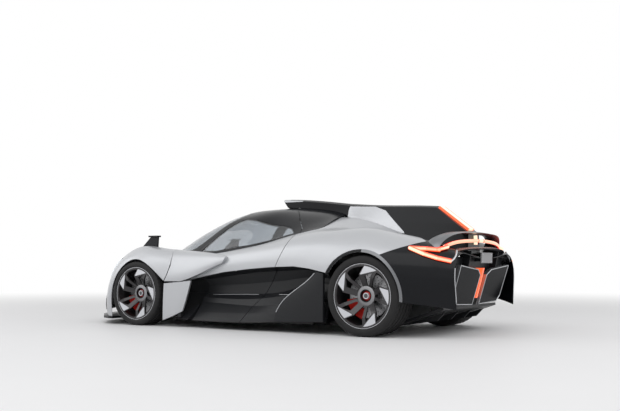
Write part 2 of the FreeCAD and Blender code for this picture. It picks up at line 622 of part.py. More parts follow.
# Roof scoop and tail fin.
scoop_shares = [
    (-0.2, [(0.9, 13.1), (1.3, 12.95), (1.35, 12.3), (1.1, 12.2)]),
    (-3.0, [(0.9, 12.98), (1.3, 12.82), (1.35, 12.05), (1.1, 11.9)]),
    (-6.0, [(0.85, 12.68), (1.28, 12.5), (1.38, 11.6), (1.3, 11.3)]),
    (-8.4, [(0.8, 12.38), (1.22, 12.2), (1.5, 11.2), (1.6, 10.6)]),
]
duct_shares = [
    (0.4, [(0.82, 13.0), (1.18, 12.87), (1.22, 12.42), (1.02, 12.34)]),
    (-3.0, [(0.82, 12.86), (1.18, 12.72), (1.22, 12.2), (1.02, 12.05)]),
    (-5.6, [(0.78, 12.6), (1.15, 12.42), (1.22, 11.85), (1.1, 11.6)]),
]
mouth_shares = [(-0.3, 13.5), (-0.33, 13.1), (-1.01, 12.22), (-1.1, 11.9), (0.6, 11.9), (0.6, 13.5)]
fin_half_share = 4.0
mouth_cutter = side_prism(mouth_shares, -fin_half_share, fin_half_share)
deep_room = 3 * waterline_pitch
scoop_clearance = 5 * seat
canopy_room = skin(canopy_points, scoop_clearance, deep_room)
scoop = section_loft(scoop_shares).cut(section_loft(duct_shares)).cut(mouth_cutter).cut(canopy_room)
keep("roof_scoop", solids_of(scoop))

fin_shares = [
    (-8.4, [(0.8, 12.38), (1.22, 12.2), (1.55, 11.2), (1.75, 10.2)]),
    (-10.2, [(0.75, 12.24), (1.18, 12.08), (1.8, 11.0), (2.3, 10.0)]),
    (-12.4, [(0.7, 12.1), (1.12, 11.94), (1.75, 10.7), (2.3, 9.4)]),
    (-15.0, [(0.65, 12.0), (1.05, 11.84), (1.55, 10.4), (2.05, 8.6)]),
    (-18.0, [(0.6, 11.82), (0.98, 11.66), (1.35, 10.2), (1.75, 7.9)]),
    (-21.6, [(0.55, 11.6), (0.9, 11.44), (1.15, 9.8), (1.4, 7.2)]),
]
fin_slope_shares = [(-17.67, 11.75), (-21.0, 9.22)]
fin_end_shares = [(-17.67, 12.5)] + fin_slope_shares + [(-21.0, 7.0), (-23.0, 7.0), (-23.0, 12.5)]
fin_rear_cutter = side_prism(fin_end_shares, -fin_half_share, fin_half_share)
side_room = skin(side_points, seat, waterline_pitch)
fin_foot_room = skin(side_points, seat, deep_room)
fin = section_loft(fin_shares).cut(fin_rear_cutter).cut(fin_foot_room).cut(mirrored(fin_foot_room))
keep("tail_fin", solids_of(fin))

# White cheek panels on the flanks of the fin.
cheek_grow = 0.06
cheek_wide_shares = [
    (station, [(buttock + cheek_grow, waterline) for buttock, waterline in half])
    for station, half in fin_shares
]
cheek_shares = [(-7.9, 10.2), (-8.5, 12.1), (-11.3, 11.98), (-12.5, 11.55), (-14.7, 9.45), (-15.0, 8.8),
                (-7.9, 8.8)]
fin_room_shares = [
    (station, [(buttock + seat / buttock_pitch, waterline) for buttock, waterline in half])
    for station, half in fin_shares
]
cheek_near_share = 0.3
cheek_space = side_prism(cheek_shares, cheek_near_share, fin_half_share)
cheek = section_loft(cheek_wide_shares).common(cheek_space).cut(section_loft(fin_room_shares))
keep_pair("fin_cheeks", solids_of(cheek.cut(fin_foot_room).cut(canopy_room)))


lens_shares = [(0.0, 0.0), (0.33, 0.5), (0.75, 0.5), (1.0, 0.0), (0.75, -0.5), (0.33, -0.5)]


def blade_across(line_shares, chord, thickness):
    """A thin wing across the tail, lens shaped in section. Each point is its trailing edge."""
    half = [at(station, buttock, waterline) for buttock, station, waterline in line_shares]
    points = [Vector(point.x, -point.y, point.z) for point in half[:0:-1]] + half
    wires = []
    for point in points:
        outline = [point + Vector(chord * ahead, 0, thickness * above) for ahead, above in lens_shares]
        wires.append(Part.makePolygon(outline + [point]))
    return Part.makeLoft(wires, True, False)


upper_wing_shares = [(0.0, -21.9, 9.22), (3.0, -21.75, 9.17), (5.4, -21.4, 8.92), (6.6, -21.0, 8.4),
                     (7.2, -20.7, 7.7)]
light_bar_shares = [(0.0, -21.8, 8.5), (3.0, -21.7, 8.42), (5.6, -21.4, 8.15), (6.6, -21.15, 7.85)]
lower_wing_shares = [(0.0, -22.7, 7.8), (3.0, -22.45, 7.75), (5.3, -21.95, 7.55), (6.2, -21.6, 7.35)]
fin_space = section_loft(fin_room_shares).cut(fin_rear_cutter.translated(Vector(-seat, 0, seat)))


def between_sides(shape):
    """A blade across the tail, cut to end a clearance short of the body sides and the fin."""
    return solids_of(shape.cut(side_room).cut(mirrored(side_room)).cut(fin_space))


wing_thickness = 0.21 * waterline_pitch
upper_chord = 1.5 * station_pitch
lower_chord = 1.2 * station_pitch
bar_chord = 0.35 * station_pitch
bar_thickness = 0.3 * waterline_pitch
upper_wing = between_sides(blade_across(upper_wing_shares, upper_chord, wing_thickness))
lower_wing = between_sides(blade_across(lower_wing_shares, lower_chord, wing_thickness))
keep("wings", Part.Compound(upper_wing.Solids + lower_wing.Solids))
light_bar = between_sides(blade_across(light_bar_shares, bar_chord, bar_thickness))


def rod(points, radius):
    """Round bars between the points, with balls where they meet."""
    pieces = []
    for start, end in zip(points[:-1], points[1:]):
        run = end - start
        pieces.append(Part.makeCylinder(radius, run.Length, start, run))
    for point in points[1:-1]:
        pieces.append(Part.makeSphere(radius, point))
    return pieces[0].fuse(pieces[1:]) if len(pieces) > 1 else pieces[0]


lamp_line_shares = [(-21.0, 7.4, 7.75), (-19.9, 8.1, 7.72), (-18.75, 8.72, 7.69), (-20.0, 8.6, 7.3),
                    (-21.0, 8.1, 6.95), (-21.9, 7.3, 6.6)]
lamp_radius = 0.2 * buttock_pitch
lamp_line = []
for point in lamp_line_shares:
    place = side_surface.parameter(at(*point))
    lamp_line.append(side_surface.value(*place) + side_surface.normal(*place) * side_turn * lamp_radius / 2)
lamp_left = solids_of(rod(lamp_line, lamp_radius).cut(side_room))
fin_top, fin_foot = (at(station, 0, waterline) for station, waterline in fin_slope_shares)
fin_slope = fin_foot - fin_top
fin_square = Vector(fin_slope.z, 0, -fin_slope.x).normalize()
if fin_square.z < 0:
    fin_square = fin_square * -1
fin_light_half = 0.7 * buttock_pitch
strip_from, strip_to = (0.03, 0.9)
strip_start = fin_top + fin_slope * strip_from + fin_square * seat
strip_end = fin_top + fin_slope * strip_to + fin_square * seat
strip_thickness = 0.2 * waterline_pitch
strip_depth = fin_square * strip_thickness
strip = [strip_start, strip_end, strip_end + strip_depth, strip_start + strip_depth]
fin_light = prism([point - across * fin_light_half for point in strip], across * 2 * fin_light_half)
keel_light_shares = [(-21.95, 6.0), (-21.2, 3.25), (-20.908, 3.25), (-21.198, 6.0)]
keel_half_share = 0.18
keel_light = side_prism(keel_light_shares, -keel_half_share, keel_half_share)
lights = [light_bar, lamp_left, mirrored(lamp_left), fin_light, keel_light]
keep("tail_lights", Part.Compound([solid for shape in lights for solid in shape.Solids]))

# Dark deflectors low at the tail, one each side of the keel light.
deflector_shares = [(5.85, 6.3), (1.6, 5.9), (0.75, 5.4), (0.75, 2.6), (5.2, 2.75), (5.75, 3.3)]
deflector_band_shares = [(-22.25, 6.5), (-21.0, 2.5), (-20.75, 2.5), (-21.8, 6.5)]
aft_share = -23.0
fore_run = along * 3 * station_pitch
deflector_face = [at(aft_share, buttock, waterline) for buttock, waterline in deflector_shares]
deflector = prism(deflector_face, fore_run).common(side_prism(deflector_band_shares, 0, side_share))
strut_shares = [(-20.945, 3.6), (-21.156, 5.6), (-21.7, 5.6), (-21.15, 3.6)]
strut_from, strut_to = (3.5, 3.9)
deflector = deflector.fuse(side_prism(strut_shares, strut_from, strut_to))
keep_pair("tail_deflectors", deflector)

panel_shares = [(-20.9, 3.2), (-21.3, 7.0), (-21.0, 7.0), (-20.6, 3.2)]
panel_half_share = 6.4
blank_plate_shares = [(-22.25, 6.45), (-22.3, 7.4), (-22.18, 7.4), (-22.13, 6.45)]
blank_half_share = 1.3
bracket_shares = ((-22.2, -0.5, 6.6), (-21.2, 0.5, 6.9))
tail_panel = side_prism(panel_shares, -panel_half_share, panel_half_share)
blank_plate = side_prism(blank_plate_shares, -blank_half_share, blank_half_share)
tail_panel = tail_panel.fuse([blank_plate, block(bracket_shares)])
keep("tail_panel", solids_of(tail_panel))

diffuser_shares = [(-9.1, 0.75), (-16.0, 0.8), (-20.65, 2.35), (-20.65, 2.6), (-16.0, 1.05), (-9.1, 1.05)]
diffuser_half_share = 6.2
diffuser = side_prism(diffuser_shares, -diffuser_half_share, diffuser_half_share)
strake_shares = [(-16.0, 0.81), (-16.0, 0.78), (-19.3, 1.3), (-20.1, 2.1)]
strake_places_share = (-4.6, -1.6, 1.4, 4.4)
strake_thickness_share = 0.15
for place in strake_places_share:
    diffuser = diffuser.fuse(side_prism(strake_shares, place, place + strake_thickness_share))
keep("diffuser", solids_of(diffuser))

splitter_shares = [(22.7, 0.0), (22.45, 2.6), (21.7, 4.6), (20.7, 6.2), (19.2, 7.6), (18.0, 8.8), (16.6, 9.5),
                   (16.0, 9.5), (16.0, 7.9), (15.5, 7.6)]
splitter_right_shares = [(station, -buttock) for station, buttock in reversed(splitter_shares[1:])]
splitter_outline = splitter_shares + splitter_right_shares
splitter_low, splitter_high = (0.6, 0.847)
keep("front_splitter", top_prism(splitter_outline, splitter_low, splitter_high))

# Slim lamps on the noses of the front wings, seated on the clam.
lamp_rows_from, lamp_rows_to = (5, 8)
lamp_from, lamp_to = (7, 11)
lamp_rows = [row[lamp_from:lamp_to + 1] for row in clam_points[lamp_rows_from:lamp_rows_to + 1]]
keep_pair("headlamps", solids_of(skin(lamp_rows, panel, 2 * panel).cut(clam_room)))

mirror_shares = [(14.3, 8.0), (12.95, 9.2), (12.75, 9.38), (11.85, 9.38), (11.95, 8.0)]
mirror_from, mirror_to = (6.9, 7.1)
winglet_shares = ((11.8, 6.7, 9.24), (13.05, 7.3, 9.4))
mirror_fin = side_prism(mirror_shares, mirror_from, mirror_to).fuse(block(winglet_shares)).cut(clam_room)
keep_pair("mirror_fins", solids_of(mirror_fin))


def rough_point(index, count, loop):
    """A first place for a corner, before its constraints move it."""
    turn = 2 * math.pi * index / count
    spread = size("hub_radius") / (1 + loop)
    centre = 4 * spread
    return Vector(centre + spread * math.cos(turn), spread * math.sin(turn), 0)


def named(rule):
    """A sheet formula: each plain word with an underscore becomes a cell of the sheet."""
    return " ".join(f"Sizes.{word}" if "_" in word else word for word in rule.split())


def bound_sketch(body, name, role, loops, lift_rule=None):
    """A sketch of closed loops on a plane of the body, with every corner bound to the sheet."""
    planes = {plane.Role: plane for plane in body.Origin.OriginFeatures}
    sketch = body.newObject("Sketcher::SketchObject", name)
    sketch.AttachmentSupport = [(planes[role], "")]
    sketch.MapMode = "FlatFace"
    if lift_rule:
        sketch.setExpression("AttachmentOffset.Base.z", named(lift_rule))
    first = 0
    for loop, corners in enumerate(loops):
        count = len(corners)
        starts = [rough_point(index, count, loop) for index in range(count)]
        for index in range(count):
            sketch.addGeometry(Part.LineSegment(starts[index], starts[(index + 1) % count]))
        for index in range(count):
            following = first + (index + 1) % count
            sketch.addConstraint(Sketcher.Constraint("Coincident", first + index, 2, following, 1))
        for index, (wide, high) in enumerate(corners):
            start = starts[index]
            for kind, rule, place in (("DistanceX", wide, start.x), ("DistanceY", high, start.y)):
                edge = first + index
                number = sketch.addConstraint(Sketcher.Constraint(kind, -1, 1, edge, 1, place))
                sketch.setExpression(f"Constraints[{number}]", named(rule))
        first += count
    document.recompute()
    return sketch


def new_body(name):
    body = document.addObject("PartDesign::Body", name)
    body.Label = name
    nodes.append(body)
    return body


def turned(body, name, corners):
    """A solid turned about the body's upright axis from radius and depth rules."""
    sketch = bound_sketch(body, name + "_profile", "XZ_Plane", [corners])
    feature = body.newObject("PartDesign::Revolution", name)
    feature.Profile = sketch
    feature.ReferenceAxis = (sketch, ["V_Axis"])
    feature.Angle = 360.0
    document.recompute()
    return feature


def polar(radius_rule, angle):
    return (f"( {radius_rule} ) * cos( {angle} deg )", f"( {radius_rule} ) * sin( {angle} deg )")


def seat_wheel_piece(body, end, side):
    """Turn the body's upright axis to point outboard and set it at the wheel's middle."""
    axle = front_axle_x if end == "front" else rear_axle_x
    radius = size(f"{end}_tyre_radius")
    offset = size(f"{end}_track_half") * side
    turn = FreeCAD.Rotation(along, -90 * side)
    body.Placement = FreeCAD.Placement(Vector(axle, offset, radius), turn)


def tyre_corners(end):
    tyre, half = f"{end}_tyre_radius", f"{end}_tyre_width / 2"
    bead, lip = f"{end}_rim_radius", f"{end}_lip_radius"
    corners = [
        (f"{bead} + seat_clearance", f"{half} - sidewall_bulge - rim_wall - seat_clearance"),
        (f"{lip} + seat_clearance", f"{half} - sidewall_bulge - rim_wall - seat_clearance"),
        (f"{lip} + seat_clearance * 3", f"{half} - sidewall_bulge"),
        (f"{lip} + sidewall_bulge", f"{half} - sidewall_bulge / 4"),
        (f"{lip} * 0.5 + {tyre} * 0.5", f"{half}"),
        (f"{tyre} - rim_wall * 1.5", f"{half} - sidewall_bulge / 2"),
        (f"{tyre} - rim_wall / 2", f"{half} - sidewall_bulge * 1.6"),
        (f"{tyre}", f"{half} - tread_shoulder"),
    ]
    return corners + [(radius, f"-( {depth} )") for radius, depth in reversed(corners)]


def barrel_corners(end):
    bead, lip = f"{end}_rim_radius", f"{end}_lip_radius"
    face = f"{end}_tyre_width / 2 - sidewall_bulge"
    back = f"{face} - rim_wall"
    corners = [(f"{bead} - rim_wall", face), (lip, face), (lip, back), (bead, back)]
    return corners + [(radius, f"-( {depth} )") for radius, depth in reversed(corners)]


spoke_count = 5
# Each corner is an angle in degrees and a share of the reach of the web.
opening_shares = [(80, 0.27), (63, 0.71), (50, 0.965), (60, 0.965), (71, 0.965), (82, 0.965), (91, 0.93),
                  (86, 0.3)]
window_corner_shares = [(27, 0.86), (47, 0.66), (42, 0.36), (30, 0.36)]
facet_shares = [(20.5, 0.985), (27, 0.985), (34, 0.985), (41, 0.985), (48, 0.985), (59, 0.72), (57, 0.7)]
web_bend_share = 0.7


def web_loop(reach, corners, side):
    return [polar(f"( {reach} ) * {share}", angle * side) for angle, share in corners]


def make_wheel(end, side, suffix):
    tyre = new_body(f"tyre_{end}_{suffix}")
    turned(tyre, f"{tyre.Name}_turned", tyre_corners(end))
    seat_wheel_piece(tyre, end, side)

    rim = new_body(f"rim_{end}_{suffix}")
    turned(rim, f"{rim.Name}_barrel", barrel_corners(end))
    lip_face = f"{end}_tyre_width / 2 - sidewall_bulge"
    face = f"{lip_face} - rim_dish"
    flat = f"{lip_face} - facet_height"
    bore = "axle_radius + axle_bore_clearance"
    reach = f"{end}_rim_radius - rim_wall / 2"
    bend = f"( {reach} ) * {web_bend_share}"
    hub = [(bore, f"{face} - hub_depth"), ("hub_radius", f"{face} - hub_depth"),
           ("hub_radius", f"{face} - web_thickness"), (bend, f"{flat} - web_thickness * 2"),
           (reach, f"{flat} - web_thickness"), (reach, flat), (bend, flat), ("hub_radius", face),
           ("ring_radius", f"{face} + ring_depth"), ("nut_radius", f"{face} + ring_depth"),
           ("nut_radius", f"{face} + nut_length"), (bore, f"{face} + nut_length")]
    turned(rim, f"{rim.Name}_web", hub)
    facet_sketch = bound_sketch(rim, f"{rim.Name}_facet_outline", "XY_Plane",
                                [web_loop(reach, facet_shares, side)], f"{flat} - facet_height")
    facet = rim.newObject("PartDesign::Pad", f"{rim.Name}_facet")
    facet.Profile = facet_sketch
    facet.setExpression("Length", "Sizes.facet_height * 2")
    document.recompute()
    facets = rim.newObject("PartDesign::PolarPattern", f"{rim.Name}_facets")
    facets.Originals = [facet]
    facets.Axis = (facet_sketch, ["N_Axis"])
    facets.Angle = 360.0
    facets.Occurrences = spoke_count
    rim.Tip = facets
    document.recompute()
    loops = [web_loop(reach, corners, side) for corners in (opening_shares, window_corner_shares)]
    hole_sketch = bound_sketch(rim, f"{rim.Name}_hole_outline", "XY_Plane", loops, lip_face)
    hole = rim.newObject("PartDesign::Pocket", f"{rim.Name}_hole")
    hole.Profile = hole_sketch
    hole.setExpression("Length", "Sizes.rim_dish + Sizes.hub_depth")
    document.recompute()
    holes = rim.newObject("PartDesign::PolarPattern", f"{rim.Name}_holes")
    holes.Originals = [hole]
    holes.Axis = (hole_sketch, ["N_Axis"])
    holes.Angle = 360.0
    holes.Occurrences = spoke_count
    rim.Tip = holes
    document.recompute()
    seat_wheel_piece(rim, end, side)

    disc = new_body(f"disc_{end}_{suffix}")
    back = f"{face} - hub_depth - seat_clearance"
    disc_edge = "front_rim_radius - disc_room"
    corners = [(bore, back), ("disc_bell_radius", back), ("disc_bell_radius", f"{back} - disc_inset"),
               (disc_edge, f"{back} - disc_inset"), (disc_edge, f"{back} - disc_inset - disc_thickness"),
               (bore, f"{back} - disc_inset - disc_thickness")]
    turned(disc, f"{disc.Name}_turned", corners)
    seat_wheel_piece(disc, end, side)


for side, suffix in ((1, "left"), (-1, "right")):
    for end in ("front", "rear"):
        make_wheel(end, side, suffix)

# Uprights with their stub axles, kingpins and brake calipers.
disc_radius = size("front_rim_radius") - size("disc_room")
caliper_span_angle = 62
caliper_turn_angle = 100
caliper_inner_share = 0.62
half_caliper = size("caliper_thickness") / 2


def wheel_face(end):
    return size(f"{end}_tyre_width") / 2 - size("sidewall_bulge") - size("rim_dish")


def make_upright(end):
    """The left upright: a carrier behind the disc, a stub axle and a caliper over the disc."""
    axle = front_axle_x if end == "front" else rear_axle_x
    height = size(f"{end}_tyre_radius")
    centre = size(f"{end}_track_half")
    face = wheel_face(end)
    disc_back = face - size("hub_depth") - seat - size("disc_inset") - size("disc_thickness")
    carrier_top = centre + disc_back - seat
    carrier = Part.makeCylinder(size("carrier_radius"), size("carrier_depth"),
                                Vector(axle, carrier_top - size("carrier_depth"), height), across)
    stub_length = face + size("nut_length") - disc_back + size("carrier_depth") / 2
    stub = Part.makeCylinder(size("axle_radius"), stub_length,
                             Vector(axle, carrier_top - size("carrier_depth") / 2, height), across)
    pin_centre = Vector(axle, carrier_top - size("carrier_depth") / 2, height)
    pin_foot = pin_centre - upward * size("kingpin_half")
    pin = Part.makeCylinder(size("kingpin_radius"), 2 * size("kingpin_half"), pin_foot, upward)
    inner_radius = disc_radius * caliper_inner_share
    outer_radius = disc_radius + 2 * size("rim_wall")
    span = size("disc_thickness") + 2 * half_caliper
    low = Vector(axle, carrier_top - half_caliper, height)
    ring = Part.makeCylinder(outer_radius, span, low, across, caliper_span_angle)
    core = Part.makeCylinder(inner_radius, span, low, across)
    slot = Part.makeCylinder(disc_radius + gap, size("disc_thickness") + 2 * gap,
                             Vector(axle, carrier_top - gap, height), across)
    caliper = ring.cut(core).cut(slot)
    caliper = caliper.Solids[0]
    caliper.rotate(Vector(axle, 0, height), across, caliper_turn_angle)
    root = Vector(axle, carrier_top - gap - half_caliper / 2, height)
    reach = caliper.CenterOfMass - root
    reach.y = 0
    bridge = Part.makeCylinder(half_caliper / 2 - seat, reach.Length, root, reach)
    return carrier.fuse([stub, pin, bridge, caliper]), pin_centre


front_upright, front_pin = make_upright("front")
both_sides("knuckle", solids_of(front_upright))
rear_upright, rear_pin = make_upright("rear")
keep_pair("rear_uprights", rear_upright)

# Front chassis: a crash box with wishbones that reach the kingpins.
arm = size("arm_radius")


def wishbones(pin, half_pin, inner_buttock, reach):
    pieces = []
    for height in (pin.z - half_pin - arm - seat, pin.z + half_pin + arm + seat):
        for step in (-reach, reach):
            foot = Vector(pin.x + step, inner_buttock * buttock_pitch, height)
            end = Vector(pin.x, pin.y, height)
            pieces.append(Part.makeCylinder(arm, (end - foot).Length, foot, end - foot))
        pieces.append(Part.makeSphere(arm, Vector(pin.x, pin.y, height)))
    return pieces


front_box_shares = ((11.5, -3.2, 0.85), (17.7, 3.2, 4.95))
front_box = block(front_box_shares)
front_foot_share = 3.0
rear_foot_share = 3.3
front_spread = 1.3 * station_pitch
rear_spread = 1.5 * station_pitch
front_arms = wishbones(front_pin, size("kingpin_half"), front_foot_share, front_spread)
front_chassis = front_box.fuse(front_arms + [mirrored(piece) for piece in front_arms])
rear_box_shares = [(-9.003, 1.053), (-16.0, 1.053), (-18.2, 1.9), (-18.2, 6.4), (-9.003, 6.4)]
rear_half_share = 3.5
rear_box = side_prism(rear_box_shares, -rear_half_share, rear_half_share)
rail_shares = [(-18.1, 3.6), (-20.639, 3.6), (-20.723, 4.4), (-18.1, 4.4)]
rail_from, rail_to = (2.2, 2.8)
rear_rail = side_prism(rail_shares, rail_from, rail_to)
rear_arms = wishbones(rear_pin, size("kingpin_half"), rear_foot_share, rear_spread)
rear_pieces = [rear_rail, mirrored(rear_rail)] + rear_arms + [mirrored(piece) for piece in rear_arms]
rear_chassis = rear_box.fuse(rear_pieces)
keep("chassis", Part.Compound(front_chassis.Solids + rear_chassis.Solids))

# Tub: floor, sills, tunnel and the two bulkheads round the cabin.
tub_shares = [
    ((-9.0, -6.8, 0.75), (9.3, 6.8, 1.1)),
    ((9.2, -5.2, 0.75), (11.497, 5.2, 1.1)),
    ((-7.2, -6.35, 1.0), (9.2, -6.05, 3.4)),
    ((-7.2, 6.05, 1.0), (9.2, 6.35, 3.4)),
    ((-7.0, -1.1, 1.0), (10.6, 1.1, 2.6)),
    ((10.8, -5.2, 1.0), (11.1, 5.2, 6.0)),
    ((-7.2, -5.8, 1.0), (-6.9, 5.8, 9.6)),
]
walls = [block(corners) for corners in tub_shares]
shelf_outline_shares = [(-9.0, 6.7), (5.1, 6.7), (5.1, 8.82), (3.0, 9.02), (1.0, 9.1), (-2.0, 9.1),
                        (-6.0, 9.0), (-9.0, 8.95)]
shelf_low, shelf_high = (0.86, 1.1)
shelf = top_prism(shelf_outline_shares, shelf_low, shelf_high).cut(lower_room).Solids
shelf = max(shelf, key=lambda piece: piece.Volume)
walls += [shelf, mirrored(shelf)]
keep("tub", walls[0].fuse(walls[1:]))

chair_shares = [(0.9, 1.103), (0.9, 2.6), (-2.6, 2.1), (-4.9, 7.6), (-5.5, 9.2), (-6.1, 9.2), (-5.9, 7.2),
                (-4.4, 1.103)]
chair_from, chair_to = (1.5, 5.6)
keep_pair("seats", side_prism(chair_shares, chair_from, chair_to))
dash_shares = [(10.797, 5.0), (10.797, 5.9), (8.4, 6.7), (6.9, 6.5), (7.2, 5.5), (9.0, 4.6)]
dash_half_share = 5.2
dash = side_prism(dash_shares, -dash_half_share, dash_half_share)
steering_centre_share = (5.5, 3.5, 6.1)
steering_rake_share = 0.25
steering_radius = 1.55 * buttock_pitch
column_length = 2.2 * station_pitch
steering_centre = at(*steering_centre_share)
steering_axis = along - upward * steering_rake_share
column = Part.makeCylinder(arm, column_length, steering_centre, steering_axis)
steering = Part.makeTorus(steering_radius, arm, steering_centre, steering_axis)
grip = Part.makeCylinder(arm, 2 * steering_radius, steering_centre - across * steering_radius, across)
keep("dashboard", dash.fuse([column, steering, grip]))


def check_everything():
    document.recompute()
    failed = [item.Label for item in document.Objects if "Invalid" in item.State or "Error" in item.State]
    for piece in nodes:
        if piece.Shape.isNull() or not piece.Shape.isValid():
            failed.append(piece.Label)
    if failed:
        raise RuntimeError("these pieces failed: " + ", ".join(failed))


check_everything()
for piece in nodes:
    piece.Shape.exportStep(f"parts/{piece.Label}.step")
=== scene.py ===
# %% [markdown]
# # A low supercar, dressed on its CAD frame
# The car is already built as exact solids, each in its real place. This script loads them as a fixed
# frame, gives every panel its finish, and adds the fine pieces that are easier to make as meshes:
# treaded tyres, hub bosses, bright edges, lamp rods, screws, mesh screens, seats and their harness. The
# first step is to load the frame and remember how large the bare solids are, because the dressed car may
# not grow beyond them.

# %% Load the frame
import math
import bmesh
import bpy
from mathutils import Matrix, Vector


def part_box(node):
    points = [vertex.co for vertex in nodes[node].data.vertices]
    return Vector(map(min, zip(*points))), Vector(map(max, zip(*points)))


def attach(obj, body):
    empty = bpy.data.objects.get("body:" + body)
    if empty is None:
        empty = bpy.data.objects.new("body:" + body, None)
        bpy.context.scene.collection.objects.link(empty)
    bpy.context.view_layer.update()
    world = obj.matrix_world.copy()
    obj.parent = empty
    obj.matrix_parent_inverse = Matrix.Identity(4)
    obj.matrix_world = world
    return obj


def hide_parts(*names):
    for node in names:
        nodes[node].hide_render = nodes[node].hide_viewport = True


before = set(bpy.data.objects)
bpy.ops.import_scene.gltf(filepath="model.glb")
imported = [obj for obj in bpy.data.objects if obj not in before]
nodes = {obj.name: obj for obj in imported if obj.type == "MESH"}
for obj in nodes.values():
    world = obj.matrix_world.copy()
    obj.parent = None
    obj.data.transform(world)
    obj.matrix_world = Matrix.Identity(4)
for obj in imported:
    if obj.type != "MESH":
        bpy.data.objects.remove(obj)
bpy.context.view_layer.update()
ends = ("front", "rear")
sides = (("left", 1), ("right", -1))

# %% [markdown]
# The wheels turn about axles that run straight across the car, so an axle is known by its place along
# the car and its height. Both are read from the middle of a rim.


# %% Where the axles lie
def middle_of(node):
    low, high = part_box(node)
    return [(a + b) / 2 for a, b in zip(low, high)]


axles = {end: middle_of(f"rim_{end}_left")[::2] for end in ends}
print("axles", {end: [round(value, 3) for value in axle] for end, axle in axles.items()})

# %% [markdown]
# ## Finishes
# A finish is a small graph of nodes. Each one starts from a Principled shader whose plain numbers are
# set on its own sockets. `shine` is the strength of the mirror reflection, which is what makes a black
# panel look grey under large lamps. `others` sets sockets that few finishes need.


# %% Start a finish and add nodes to it
def new_finish(name, colour, metallic=0.0, roughness=0.5, coat=0.0, coat_roughness=0.03, shine=0.5,
               others=None):
    finish = bpy.data.materials.new(name)
    finish.use_nodes = True
    settings = {"Base Color": (*colour, 1), "Metallic": metallic, "Roughness": roughness,
                "Specular IOR Level": shine, "Coat Weight": coat, "Coat Roughness": coat_roughness}
    for socket, value in {**settings, **(others or {})}.items():
        shader_of(finish).inputs[socket].default_value = value
    return finish


def shader_of(finish):
    return finish.node_tree.nodes["Principled BSDF"]


def add_node(owner, kind, **settings):
    """The owner is a finish or the world, or the tree of nodes itself."""
    node = getattr(owner, "node_tree", owner).nodes.new(kind)
    for name, value in settings.items():
        if name in node.inputs:
            node.inputs[name].default_value = value
        else:
            setattr(node, name, value)
    return node


def join(output, target):
    output.id_data.links.new(output, target)


def tell(*finishes):
    for finish in finishes:
        print("finish", finish.name, len(finish.node_tree.nodes), "nodes")


# %% [markdown]
# Sums on a surface are done by Math nodes. `calc` adds one beside the values that it is given. The five
# short names after it say what the commonest sums mean: a mask is 1 where it holds and 0 elsewhere.
# `ranged` stretches one range of values over another and stops at its ends.


# %% Sums and masks
def calc(operation, *values):
    tree = next(value.id_data for value in values if not isinstance(value, (int, float)))
    node = add_node(tree, "ShaderNodeMath", operation=operation)
    for socket, value in zip(node.inputs, values):
        if isinstance(value, (int, float)):
            socket.default_value = value
        else:
            join(value, socket)
    return node.outputs["Value"]


def above(value, limit):
    return calc("GREATER_THAN", value, limit)


def below(value, limit):
    return calc("LESS_THAN", value, limit)


def both(first, second):
    return calc("MULTIPLY", first, second)


def either(first, second):
    return calc("MAXIMUM", first, second)


def size_of(value):
    return calc("ABSOLUTE", value)


def ranged(value, low, high, to_low=0.0, to_high=1.0):
    limits = {"From Min": low, "From Max": high, "To Min": to_low, "To Max": to_high}
    node = add_node(value.id_data, "ShaderNodeMapRange", **limits)
    join(value, node.inputs["Value"])
    return node.outputs["Result"]


# %% [markdown]
# Patterns are laid out in the object's own coordinates, in metres, so that a weave of two millimetres
# stays two millimetres on every panel and needs no unwrapping. `place` gives those coordinates,
# `facing_of` how far the face looks along an axis, and `from_axle` the distance to a wheel's axle.


# %% Places on the surface
def apart(vector):
    split = add_node(vector.id_data, "ShaderNodeSeparateXYZ")
    join(vector, split.inputs["Vector"])
    return split.outputs


def place(finish):
    return add_node(finish, "ShaderNodeTexCoord").outputs["Object"]


def facing_of(finish, axis):
    return apart(add_node(finish, "ShaderNodeTexCoord").outputs["Normal"])[axis]


def length_of(first, second):
    squares = [calc("MULTIPLY", value, value) for value in (first, second)]
    return calc("SQRT", calc("ADD", *squares))


def steps_from_axle(finish, axle):
    spot = apart(place(finish))
    return calc("SUBTRACT", spot["X"], axle[0]), calc("SUBTRACT", spot["Z"], axle[1])


def from_axle(finish, axle):
    return length_of(*steps_from_axle(finish, axle))


# %% [markdown]
# Two patterns come back in almost every finish. `grain` is a soft noise that moves a value a little
# round its middle, and `polish` lets it change the roughness, as on real metal or paint. `relief` turns a
# pattern into small dents with a Bump node. `tint` turns it into a colour between two ends.


# %% Grain, polish, relief and tint
def grain(finish, scale, low=0.0, high=1.0, detail=3.0):
    noise = add_node(finish, "ShaderNodeTexNoise", Scale=scale, Detail=detail)
    join(place(finish), noise.inputs["Vector"])
    return ranged(noise.outputs["Fac"], 0.0, 1.0, low, high)


def polish(finish, scale, low, high):
    join(grain(finish, scale, low, high), shader_of(finish).inputs["Roughness"])


def relief(finish, height, strength, distance):
    bump = add_node(finish, "ShaderNodeBump", Strength=strength, Distance=distance)
    join(height, bump.inputs["Height"])
    join(bump.outputs["Normal"], shader_of(finish).inputs["Normal"])


def tint(finish, factor, first, second):
    ramp = add_node(finish, "ShaderNodeValToRGB")
    ramp.color_ramp.elements[0].color = (*first, 1)
    ramp.color_ramp.elements[1].color = (*second, 1)
    join(factor, ramp.inputs["Fac"])
    join(ramp.outputs["Color"], shader_of(finish).inputs["Base Color"])
    return ramp


# %% [markdown]
# ## Satin pearl paint
# The body is sprayed in a silver white with fine flakes under a satin lacquer. The flakes are a noise
# far finer than a millimetre that only stirs the normal, and a slow noise changes the tone by a
# percent or two, as a hand-polished panel does.

